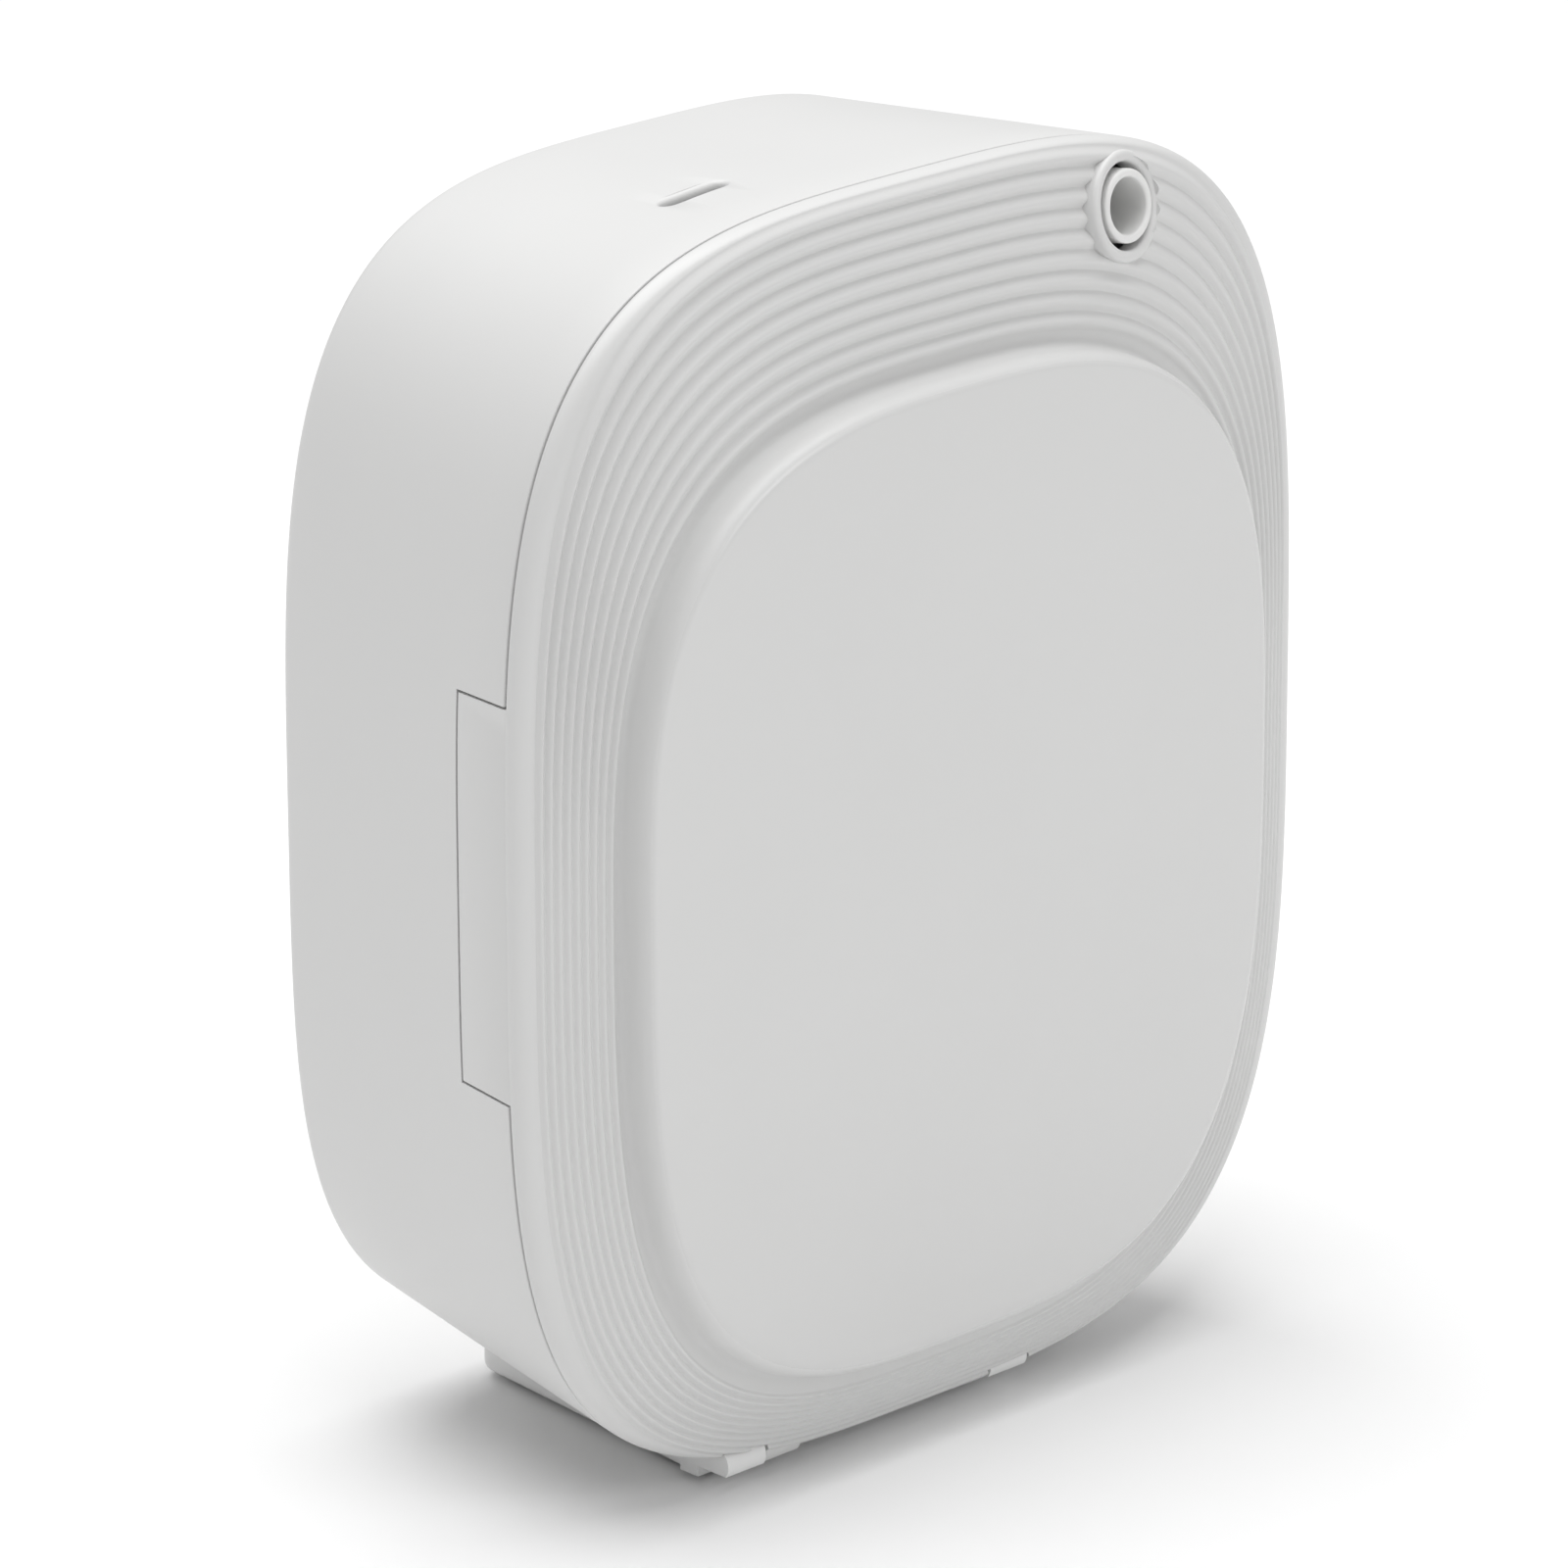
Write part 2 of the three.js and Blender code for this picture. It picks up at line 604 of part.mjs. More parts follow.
// The skin that the side tabs are cut from: flush with the housing, rooted inside the cover's wall.
function tabSkin() {
  const flush = 0.05;
  const far = TAB_REACH + 2;
  const outer = [outlineLoop(inset(SEAM, 0.7), -1.2), outlineLoop(inset(SEAM, flush), 0),
    outlineLoop(inset(housingOutline(far), flush), far)];
  const inner = [outlineLoop(inset(SEAM, WALL - 0.4), -2), outlineLoop(inset(SEAM, WALL - flush), 0),
    outlineLoop(inset(housingOutline(far), WALL - flush), far + 1)];
  return cut(loft(outer), loft(inner));
}

function frontCover() {
  const skin = coverForm();
  const tabs = tabSlabs(-1.1, 0).map((side) => tabSkin().intersect(side));
  const root = WALL + PORT_ROOT;
  const ring = barAlong(PORT_RING / 2, alongPort(-root), portAxis, root + PORT_PROUD, 32);
  const ringInCover = ring.trimByPlane([0, -1, 0], 0);
  const bore = barAlong(PORT_BORE / 2, alongPort(-8), portAxis, 16, 32);
  const strikerLeft = KEY_X - LATCH_WIDTH / 2 + 1;
  const strikerRight = KEY_X + LATCH_WIDTH / 2 - 1;
  const strikerBack = KEY_Y - KEY_SLOT_WIDTH / 2 - STRIKER_CLEAR;
  const arm = box(strikerLeft, strikerRight, -3.4, strikerBack, STRIKER_Z, STRIKER_Z + STRIKER_THICK);
  const tooth = box(strikerLeft, strikerRight, strikerBack - TOOTH_DEPTH, strikerBack,
    STRIKER_Z - CATCH - 0.5, STRIKER_Z + 0.1);
  const knuckles = hinges.map(({ side, knuckleInner, knuckleOuter }) =>
    hingeBar(KNUCKLE_RADIUS, side, knuckleInner, knuckleOuter));
  const barrelRooms = hinges.map(({ side, knuckleOuter, barrelOuter }) =>
    hingeBar(BARREL_RADIUS + HINGE_GAP, side, knuckleOuter, barrelOuter + HINGE_GAP));
  const pinBores = hinges.map(({ side, knuckleInner, knuckleOuter }) =>
    hingeBar(HINGE_PIN / 2 + CLEAR, side, knuckleInner + PIN_END_WALL, knuckleOuter + 1, 12));
  const solid = join(skin, ...tabs, ringInCover, arm, tooth);
  return cut(join(cut(solid, bore, ...barrelRooms), ...knuckles), ...pinBores);
}

piece('front_cover', frontCover(), whitePlastic);

// ---------------------------------------------------------------- foot and hinge pins

function footPlan() {
  const shape = new THREE.Shape();
  shape.moveTo(-FOOT_FRONT_HALF + FOOT_ROUND, FOOT_FRONT_Y);
  shape.lineTo(FOOT_FRONT_HALF - FOOT_FRONT_RIGHT_ROUND, FOOT_FRONT_Y);
  shape.quadraticCurveTo(
    FOOT_FRONT_HALF, FOOT_FRONT_Y, FOOT_FRONT_HALF, FOOT_FRONT_Y + FOOT_FRONT_RIGHT_ROUND);
  shape.lineTo(FOOT_BACK_HALF, FOOT_BACK_Y - FOOT_ROUND);
  shape.quadraticCurveTo(FOOT_BACK_HALF, FOOT_BACK_Y, FOOT_BACK_HALF - FOOT_ROUND, FOOT_BACK_Y);
  shape.lineTo(-FOOT_BACK_HALF + FOOT_ROUND, FOOT_BACK_Y);
  shape.quadraticCurveTo(-FOOT_BACK_HALF, FOOT_BACK_Y, -FOOT_BACK_HALF, FOOT_BACK_Y - FOOT_ROUND);
  shape.lineTo(-FOOT_FRONT_HALF, FOOT_FRONT_Y + FOOT_ROUND);
  shape.quadraticCurveTo(-FOOT_FRONT_HALF, FOOT_FRONT_Y, -FOOT_FRONT_HALF + FOOT_ROUND, FOOT_FRONT_Y);
  return shape;
}

const padPlaces = [[-36, 12], [36, 12], [-32, 52], [32, 52]];

function footBlock() {
  const depth = SEAM.bottom - BACK.bottom + FOOT_DROP + 3;
  const settings = { depth, bevelEnabled: false, curveSegments: 4 };
  const geometry = new THREE.ExtrudeGeometry(footPlan(), settings);
  geometry.translate(0, 0, FOOT_BOTTOM);
  const noses = hinges.map(({ side, barrelInner, barrelOuter }) => {
    const low = side > 0 ? barrelInner : -barrelOuter;
    return box(low, low + BARREL_LENGTH, HINGE_Y, FOOT_FRONT_Y + 3, FOOT_BOTTOM, HINGE_Z);
  });
  const barrels = hinges.map(({ side, barrelInner, barrelOuter }) =>
    hingeBar(BARREL_RADIUS, side, barrelInner, barrelOuter));
  const pockets = padPlaces.map(([x, y]) =>
    bar('z', PAD_RADIUS + CLEAR, FOOT_BOTTOM - 1, FOOT_BOTTOM + PAD_SINK, x, y));
  const pinBores = hinges.map(({ side, barrelInner, barrelOuter }) =>
    hingeBar(HINGE_PIN / 2 + CLEAR, side, barrelInner - 1, barrelOuter - PIN_END_WALL, 12));
  const screwHoles = footScrewPlaces.map(([x, y]) =>
    bar('z', SCREW_RADIUS + CLEAR, FOOT_BOTTOM - 1, -BACK.bottom + 6, x, y, 12));
  const headRooms = footScrewPlaces.map(([x, y]) =>
    bar('z', SCREW_HEAD + CLEAR, FOOT_BOTTOM - 1, FOOT_BOTTOM + FOOT_SCREW_SINK, x, y, 16));
  const lower = cut(join(solidOf(geometry), ...noses), housingForm(CLEAR, SEAM_GAP - 6));
  return cut(join(lower, ...barrels), ...pockets, ...pinBores, ...screwHoles, ...headRooms);
}

piece('foot_block', footBlock(), whitePlastic);

padPlaces.forEach(([x, y], i) => {
  const top = FOOT_BOTTOM + PAD_SINK - CLEAR;
  const low = FOOT_BOTTOM - PAD_PROUD;
  const profile = [[0, low], [PAD_RADIUS - 0.8, low], [PAD_RADIUS, low + 0.8], [PAD_RADIUS, top], [0, top]];
  piece(`foot_pad_${i + 1}`, turned(profile, x, y), rubber);
});

footScrewPlaces.forEach(([x, y], i) => {
  const mesh = screw(`foot_screw_${i + 1}`, x, y, FOOT_BOTTOM + FOOT_SCREW_SINK - CLEAR / 2, 9);
  mesh.rotation.x = Math.PI / 2;
});

for (const { side, knuckleInner, barrelOuter } of hinges) {
  const name = side < 0 ? 'hinge_pin_left' : 'hinge_pin_right';
  const from = knuckleInner + PIN_END_WALL + CLEAR;
  const to = barrelOuter - PIN_END_WALL - CLEAR;
  piece(name, hingeBar(HINGE_PIN / 2, side, from, to, 16), steel);
}

// ---------------------------------------------------------------- inner deck

function deckOutlineShape() {
  const outline = inset(housingOutline(DECK_BACK), WALL + DECK_GAP);
  const points = outlineLoop(outline, 0).map((point) => new THREE.Vector2(point.x, point.z));
  return new THREE.Shape(points);
}

const keyPlaces = Array.from({ length: KEYS }, (unused, i) =>
  [DISPLAY.x + (i - (KEYS - 1) / 2) * KEY_PITCH, KEYS_Z]);
const BOARD = { left: -69, right: -8, bottom: 28, top: 73, front: DECK_BACK + 2, thick: 1.6 };
const boardScrewPlaces = [[BOARD.left + 4, BOARD.top - 4], [BOARD.right - 4, BOARD.top - 4],
  [BOARD.left + 4, BOARD.bottom + 3], [BOARD.right - 4, BOARD.bottom + 3]];

const tubeEnd = alongPort(PORT_PROUD + 0.3);
const tubeAxis = new THREE.Vector3(TUBE_LEAN_X, -1, TUBE_LEAN_Z).normalize();

function innerDeck() {
  const front = DECK_Y - 1;
  const behind = DECK_BACK + 1;
  const base = plate(deckOutlineShape(), DECK_Y, DECK_BACK);
  const divider = box(BAY.left - DIVIDER, BAY.left, DECK_Y, SHELF_BACK_Y, SHELF_Z, DIVIDER_TOP);
  const shelf = box(BAY.left - DIVIDER, SHELF_RIGHT, DECK_Y, SHELF_BACK_Y, SHELF_Z - DIVIDER, SHELF_Z);
  const standoffs = boardScrewPlaces.map(([x, z]) =>
    bar('y', STANDOFF_RADIUS, DECK_BACK - 0.5, BOARD.front - CLEAR, x, z, 12));
  const bay = plate(roundedRectangle(BAY.left, BAY.right, SHELF_Z, BAY.top, 5), front, behind);
  const window = plate(roundedRectangle(
    DISPLAY.x - DISPLAY.width / 2, DISPLAY.x + DISPLAY.width / 2,
    DISPLAY.z - DISPLAY.height / 2, DISPLAY.z + DISPLAY.height / 2, 2), front, behind);
  const keyHoles = keyPlaces.map(([x, z]) =>
    bar('y', KEY_CAP_RADIUS + CLEAR, front, behind, x, z, 20));
  const switchHole = box(SWITCH.x - SWITCH.width / 2 - CLEAR, SWITCH.x + SWITCH.width / 2 + CLEAR,
    front, behind, SWITCH.z - SWITCH.height / 2 - CLEAR, SWITCH.z + SWITCH.height / 2 + CLEAR);
  const tubeCentre = tubeEnd.clone().addScaledVector(tubeAxis, -(DECK_Y - tubeEnd.y) * 1.02);
  const tubeHole = bar('y', TUBE_OUTER / 2 + 2, front, behind, tubeCentre.x, tubeCentre.z, 24);
  const strikerSlot = box(KEY_X - LATCH_WIDTH / 2 - 0.5, KEY_X + LATCH_WIDTH / 2 + 0.5,
    front, behind, STRIKER_Z - CATCH - 3, STRIKER_Z + STRIKER_THICK + 1.6);
  const screwHoles = deckScrewPlaces.map(([x, z]) =>
    bar('y', SCREW_RADIUS + CLEAR, front, behind, x, z, 12));
  const boardPilots = boardScrewPlaces.map(([x, z]) =>
    bar('y', SCREW_RADIUS + CLEAR, DECK_Y + 0.8, behind + 2, x, z, 12));
  return cut(join(base, divider, shelf, ...standoffs), bay, window, ...keyHoles, switchHole, tubeHole,
    strikerSlot, ...screwHoles, ...boardPilots);
}

piece('inner_deck', innerDeck(), innerWhite);

deckScrewPlaces.forEach(([x, z], i) => {
  screw(`deck_screw_${i + 1}`, x, DECK_Y - CLEAR / 2, z, 14);
});

function controlBoard() {
  const back = BOARD.front + BOARD.thick;
  const board = box(BOARD.left, BOARD.right, BOARD.front, back, BOARD.bottom, BOARD.top);
  const holes = boardScrewPlaces.map(([x, z]) =>
    bar('y', SCREW_RADIUS + CLEAR, BOARD.front - 1, back + 1, x, z, 12));
  const chip = box(-44, -30, back - 0.1, back + 2, 44, 58);
  const socket = box(-20, -12, back - 0.1, back + 6, 40, 52);
  return cut(join(board, chip, socket), ...holes);
}

piece('control_board', controlBoard(), boardGreen);

boardScrewPlaces.forEach(([x, z], i) => {
  const seat = BOARD.front + BOARD.thick + CLEAR / 2;
  screw(`board_screw_${i + 1}`, x, seat, z, BOARD.thick + 2.2, -1);
});

function windowBox(y0, y1, grow) {
  return plate(roundedRectangle(
    DISPLAY.x - DISPLAY.width / 2 - grow, DISPLAY.x + DISPLAY.width / 2 + grow,
    DISPLAY.z - DISPLAY.height / 2 - grow, DISPLAY.z + DISPLAY.height / 2 + grow, 1.6), y0, y1);
}

piece('display_lens', windowBox(DECK_Y + 0.1, DECK_BACK - 0.5, -CLEAR), glassBlack);
piece('display_module', windowBox(DECK_BACK + CLEAR, BOARD.front - CLEAR, 1), greyPlastic);

keyPlaces.forEach(([x, z], i) => {
  const top = DECK_Y - 1.6;
  const profile = [[0, top], [KEY_CAP_RADIUS - 0.6, top], [KEY_CAP_RADIUS, top + 0.5],
    [KEY_CAP_RADIUS, DECK_BACK + CLEAR], [KEY_CAP_RADIUS + 1, DECK_BACK + CLEAR],
    [KEY_CAP_RADIUS + 1, BOARD.front - KEY_CAP_TRAVEL - CLEAR], [0, BOARD.front - KEY_CAP_TRAVEL - CLEAR]];
  const points = profile.map(([radius, y]) => new THREE.Vector2(radius, y));
  const mesh = piece(`key_${i + 1}`, solidOf(new THREE.LatheGeometry(points, 16)), greyPlastic);
  mesh.position.set(x, 0, z);
});

// ---------------------------------------------------------------- power switch

function switchBody() {
  const { x, z, width, height, depth } = SWITCH;
  const flange = plate(roundedRectangle(x - width / 2 - 1.5, x + width / 2 + 1.5,
    z - height / 2 - 1.5, z + height / 2 + 1.5, 1.2), DECK_Y - 1.3, DECK_Y - CLEAR);
  const shell = box(x - width / 2, x + width / 2, DECK_Y - 1, DECK_Y + depth,
    z - height / 2, z + height / 2);
  const wall = SWITCH_WALL;
  const well = box(x - width / 2 + wall, x + width / 2 - wall, DECK_Y - 4, DECK_Y + 7,
    z - height / 2 + wall, z + height / 2 - wall);
  const blades = [-5, 5].map((offset) =>
    box(x - 2.4, x + 2.4, DECK_Y + depth - 1, DECK_Y + depth + 5, z + offset - 0.4, z + offset + 0.4));
  return cut(join(flange, shell, ...blades), well);
}

piece('switch_body', switchBody(), blackPlastic);

function rocker() {
  const half = SWITCH.height / 2 - 2;
  const shape = new THREE.Shape();
  shape.moveTo(-half, -2.2);
  shape.quadraticCurveTo(0, 0.6, half, -2.2);
  shape.lineTo(half - 0.6, 1.6);
  shape.lineTo(1.8, 4);
  shape.lineTo(-1.8, 4);
  shape.lineTo(-half + 0.6, 1.6);
  shape.closePath();
  const width = SWITCH.width - 2 * SWITCH_WALL - 2 * CLEAR;
  const settings = { depth: width, bevelEnabled: false, curveSegments: 8 };
  const geometry = new THREE.ExtrudeGeometry(shape, settings);
  geometry.translate(0, 0, -width / 2);
  geometry.rotateY(-Math.PI / 2);
  return solidOf(geometry);
}

const rockerMesh = piece('power_rocker', rocker(), blackPlastic);
rockerMesh.position.set(SWITCH.x, DECK_Y + 1.4, SWITCH.z);
rockerMesh.rotation.x = THREE.MathUtils.degToRad(SWITCH.tilt);

// ---------------------------------------------------------------- latch

const LATCH_BASE_Z = STRIKER_Z - 9.5;
const LATCH_FRONT = DECK_BACK + CLEAR + 1.2;
const LATCH_BACK = KEY_Y + KEY_SLOT_WIDTH / 2 + 1;
const GUIDE_FLOOR = LATCH_BASE_Z - LATCH_TRAVEL - 4;
const GUIDE_THICK = 1.6;

function latchSlider() {
  const left = KEY_X - LATCH_WIDTH / 2;
  const right = KEY_X + LATCH_WIDTH / 2;
  const strikerTooth = KEY_Y - KEY_SLOT_WIDTH / 2 - STRIKER_CLEAR - TOOTH_DEPTH;
  const base = box(left, right, LATCH_FRONT, LATCH_BACK, LATCH_BASE_Z, LATCH_BASE_Z + 2.4);
  const catchTooth = box(left, right, LATCH_FRONT, strikerTooth - CLEAR,
    LATCH_BASE_Z + 2.3, STRIKER_Z - 0.5);
  const pad = box(KEY_X - 4, KEY_X + 4, KEY_Y - KEY_SLOT_WIDTH / 2 + 0.1, LATCH_BACK,
    LATCH_BASE_Z + 2.3, STRIKER_Z + 3.5);
  const pegTop = LATCH_BASE_Z + 0.1;
  const peg = bar('z', 1.6, LATCH_BASE_Z - 1.8, pegTop, KEY_X, (LATCH_FRONT + LATCH_BACK) / 2, 12);
  return join(base, catchTooth, pad, peg);
}

piece('latch_slider', latchSlider(), greyPlastic);

function latchGuide() {
  const gap = 0.4;
  const left = KEY_X - LATCH_WIDTH / 2 - gap;
  const right = KEY_X + LATCH_WIDTH / 2 + gap;
  const front = DECK_BACK + CLEAR;
  const top = LATCH_BASE_Z + 4;
  const outer = box(left - GUIDE_THICK, right + GUIDE_THICK, front, LATCH_BACK + gap + GUIDE_THICK,
    GUIDE_FLOOR - GUIDE_THICK, top);
  const inner = box(left, right, LATCH_FRONT - gap, LATCH_BACK + gap, GUIDE_FLOOR, top + 1);
  return cut(outer, inner);
}

piece('latch_guide', latchGuide(), innerWhite);

// A round coil of constant pitch.
class Helix extends THREE.Curve {
  constructor(radius, turns, low, high) {
    super();
    this.radius = radius;
    this.turns = turns;
    this.low = low;
    this.high = high;
  }

  getPoint(share, target = new THREE.Vector3()) {
    const angle = 2 * Math.PI * this.turns * share;
    const height = THREE.MathUtils.lerp(this.low, this.high, share);
    return target.set(this.radius * Math.cos(angle), this.radius * Math.sin(angle), height);
  }
}

const springWire = 0.4;
const spring = new Helix(2.9, 4, GUIDE_FLOOR + springWire + 0.15, LATCH_BASE_Z - springWire - 0.15);
const springMesh = piece('latch_spring', pipe(spring, springWire, 0, 36, 3), steel);
springMesh.position.set(KEY_X, (LATCH_FRONT + LATCH_BACK) / 2, 0);

// ---------------------------------------------------------------- bottle, collar and atomiser head

function bottle() {
  const base = BOTTLE_BASE;
  const r = BOTTLE_RADIUS;
  const neck = BOTTLE_NECK_RADIUS;
  const w = BOTTLE_WALL;
  const neckBase = SHOULDER_Z + SHOULDER_RISE;
  return turned([
    [0, base + 1], [r - 5, base], [r - 1, base + 0.8], [r, base + 4], [r, SHOULDER_Z - 6],
    [r - 3, SHOULDER_Z], [neck + 1, neckBase - 2], [neck, neckBase], [neck, NECK_TOP],
    [neck - w, NECK_TOP], [neck - w, neckBase - 2], [r - 3 - w, SHOULDER_Z - 1.5],
    [r - w, SHOULDER_Z - 6.5], [r - w, base + 5], [r - 5, base + w + 0.5], [0, base + w + 1],
  ], BOTTLE_X, BOTTLE_Y, 24);
}

piece('oil_bottle', bottle(), milkyPlastic);

function collar() {
  const bore = BOTTLE_NECK_RADIUS + CLEAR;
  return turned([
    [bore, COLLAR_BASE], [HEAD_RADIUS - 0.5, COLLAR_BASE], [HEAD_RADIUS, COLLAR_BASE + 1],
    [HEAD_RADIUS, COLLAR_TOP - 1], [HEAD_RADIUS - 1, COLLAR_TOP], [7, COLLAR_TOP],
    [7, COLLAR_TOP - 3], [bore, COLLAR_TOP - 3], [bore, COLLAR_BASE],
  ], BOTTLE_X, BOTTLE_Y, 24);
}

piece('bottle_collar', collar(), innerWhite);

const SEAL_BASE = NECK_TOP + CLEAR;
piece('bottle_seal', turned([
  [SEAL_BORE, SEAL_BASE], [BOTTLE_NECK_RADIUS - 0.4, SEAL_BASE],
  [BOTTLE_NECK_RADIUS - 0.4, SEAL_BASE + SEAL_THICK], [SEAL_BORE, SEAL_BASE + SEAL_THICK],
  [SEAL_BORE, SEAL_BASE],
], BOTTLE_X, BOTTLE_Y), rubber);

piece('bottle_mat', turned([
  [0, SHELF_Z + CLEAR / 2], [MAT_RADIUS - 1, SHELF_Z + CLEAR / 2], [MAT_RADIUS, SHELF_Z + MAT_THICK / 2],
  [MAT_RADIUS, SHELF_Z + MAT_THICK], [0, SHELF_Z + MAT_THICK],
], BOTTLE_X, BOTTLE_Y), rubber);

function atomiserHead() {
  const skirt = HEAD_BASE + HEAD_SKIRT;
  const shell = turned([
    [0, HEAD_BASE], [HEAD_RADIUS - 1, HEAD_BASE], [HEAD_RADIUS, HEAD_BASE + 1], [HEAD_RADIUS, skirt - 2],
    [HEAD_RADIUS - 2, skirt], [CHAMBER_RADIUS, skirt], [CHAMBER_RADIUS, HEAD_TOP - 1.5],
    [CHAMBER_RADIUS - 1.5, HEAD_TOP], [TUBE_BORE / 2, HEAD_TOP], [TUBE_BORE / 2 + 5, HEAD_TOP - 3],
    [TUBE_BORE / 2 + 5, skirt], [3, HEAD_BASE + 6], [0, HEAD_BASE + 6],
  ], BOTTLE_X, BOTTLE_Y, 24);
  const barb = bar('x', BARB_RADIUS, BARB_X - BARB_LENGTH, BARB_X + 2, BOTTLE_Y, BARB_Z, 12);
  const spigotEnd = HEAD_BASE - SPIGOT_LENGTH;
  const spigot = bar('z', SPIGOT_RADIUS, spigotEnd, HEAD_BASE + 1, BOTTLE_X, BOTTLE_Y, 16);
  const riser = bar('z', RISER_RADIUS, spigotEnd - 1, HEAD_BASE + 8, BOTTLE_X, BOTTLE_Y, 10);
  return cut(join(shell, barb, spigot), riser);
}

piece('atomiser_head', atomiserHead(), innerWhite);

const DIP_BORE = SPIGOT_RADIUS + CLEAR;
const DIP_BASE = BOTTLE_BASE + 8;
const DIP_TOP = HEAD_BASE - SPIGOT_LENGTH;
piece('dip_tube', turned([
  [DIP_BORE, DIP_BASE], [DIP_BORE + 1, DIP_BASE], [DIP_BORE + 1, DIP_TOP],
  [DIP_BORE, DIP_TOP], [DIP_BORE, DIP_BASE],
], BOTTLE_X, BOTTLE_Y, 16), milkyPlastic);

// The outlet tube rises from the atomiser chamber and sweeps forward into the cover's port.
function outletTube() {
  const start = new THREE.Vector3(BOTTLE_X, BOTTLE_Y, HEAD_TOP + CLEAR);
  const straight = tubeEnd.clone().addScaledVector(tubeAxis, -16);
  const path = new THREE.CurvePath();
  const bend = new THREE.CubicBezierCurve3(
    start, start.clone().setZ(HEAD_TOP + 11), straight.clone().addScaledVector(tubeAxis, -12), straight);
  path.add(bend);
  path.add(new THREE.LineCurve3(straight, tubeEnd));
  return pipe(path, TUBE_OUTER / 2, TUBE_BORE / 2, 12, 8);
}

piece('outlet_tube', outletTube(), whitePlastic);

// ---------------------------------------------------------------- air pump

const MOTOR_RIGHT = MOTOR_LEFT + MOTOR_LENGTH;
const HEAD_LEFT = MOTOR_RIGHT + CLEAR;
const HEAD_RIGHT = HEAD_LEFT + PUMP_HEAD_LENGTH;

function pumpMotor() {
  const can = bar('x', MOTOR_RADIUS, MOTOR_LEFT, MOTOR_RIGHT, PUMP_Y, PUMP_Z, 28);
  const nub = bar('x', 4, MOTOR_LEFT - 2.5, MOTOR_LEFT + 1, PUMP_Y, PUMP_Z, 16);
  const shaftBore = bar('x', 1.4, MOTOR_RIGHT - 8, MOTOR_RIGHT + 1, PUMP_Y, PUMP_Z, 12);
  const tags = [-5, 5].map((offset) => box(MOTOR_LEFT - 4, MOTOR_LEFT + 1, PUMP_Y - 1.2, PUMP_Y + 1.2,
    PUMP_Z + offset - 0.3, PUMP_Z + offset + 0.3));
  return cut(join(can, nub, ...tags), shaftBore);
}

piece('pump_motor', pumpMotor(), motorSteel);

function pumpCrank() {
  const shaft = bar('x', 1, MOTOR_RIGHT - 7, HEAD_LEFT + 3, PUMP_Y, PUMP_Z, 12);
  const disc = bar('x', 5, HEAD_LEFT + 1.5, HEAD_LEFT + 5.5, PUMP_Y, PUMP_Z, 20);
  const pin = bar('x', 1.2, HEAD_LEFT + 5, HEAD_LEFT + 8.5, PUMP_Y, PUMP_Z + CRANK_THROW, 12);
  return join(shaft, disc, pin);
}

piece('pump_crank', pumpCrank(), steel);

function pumpHead() {
  const half = PUMP_HEAD_SIZE / 2;
  const block = box(HEAD_LEFT, HEAD_RIGHT, PUMP_Y - half, PUMP_Y + half, PUMP_Z - half, PUMP_Z + half);
  const room = bar('x', CRANK_ROOM_RADIUS, HEAD_LEFT - 1, HEAD_LEFT + CRANK_ROOM, PUMP_Y, PUMP_Z);
  const ribs = [0, 1, 2].map((i) => cut(
    box(HEAD_LEFT + 13 + 3.6 * i, HEAD_LEFT + 14.4 + 3.6 * i, PUMP_Y - half - 1, PUMP_Y + half + 1,
      PUMP_Z - half - 1, PUMP_Z + half + 1),
    box(HEAD_LEFT + 12, HEAD_RIGHT + 1, PUMP_Y - half + 1, PUMP_Y + half - 1,
      PUMP_Z - half + 1, PUMP_Z + half - 1)));
  const barbEnd = HEAD_RIGHT + BARB_LENGTH;
  const barb = bar('x', BARB_RADIUS, HEAD_RIGHT - 1, barbEnd, PUMP_Y, PUMP_Z + PUMP_BARB_RISE, 12);
  return cut(join(block, barb), room, ...ribs);
}

piece('pump_head', pumpHead(), greyPlastic);

function pumpCradle() {
  const middle = MOTOR_LEFT + MOTOR_LENGTH / 2;
  const back = INNER_BACK - 4 - CLEAR;
  const saddle = box(middle - 9, middle + 9, PUMP_Y + 4, back, PUMP_Z - 15, PUMP_Z + 15);
  const flange = box(middle - 9, middle + 9, back - 2, back, PUMP_Z - 26, PUMP_Z + 26);
  const room = bar('x', MOTOR_RADIUS + CLEAR, middle - 12, middle + 12, PUMP_Y, PUMP_Z, 28);
  const holes = cradleScrewPlaces.map(([x, z]) =>
    bar('y', SCREW_RADIUS + CLEAR, back - 4, back + 1, x, z, 12));
  return cut(join(saddle, flange), room, ...holes);
}

piece('pump_cradle', pumpCradle(), rubber);

cradleScrewPlaces.forEach(([x, z], i) => {
  screw(`pump_screw_${i + 1}`, x, INNER_BACK - 6 - CLEAR - CLEAR / 2, z, 5.6);
});

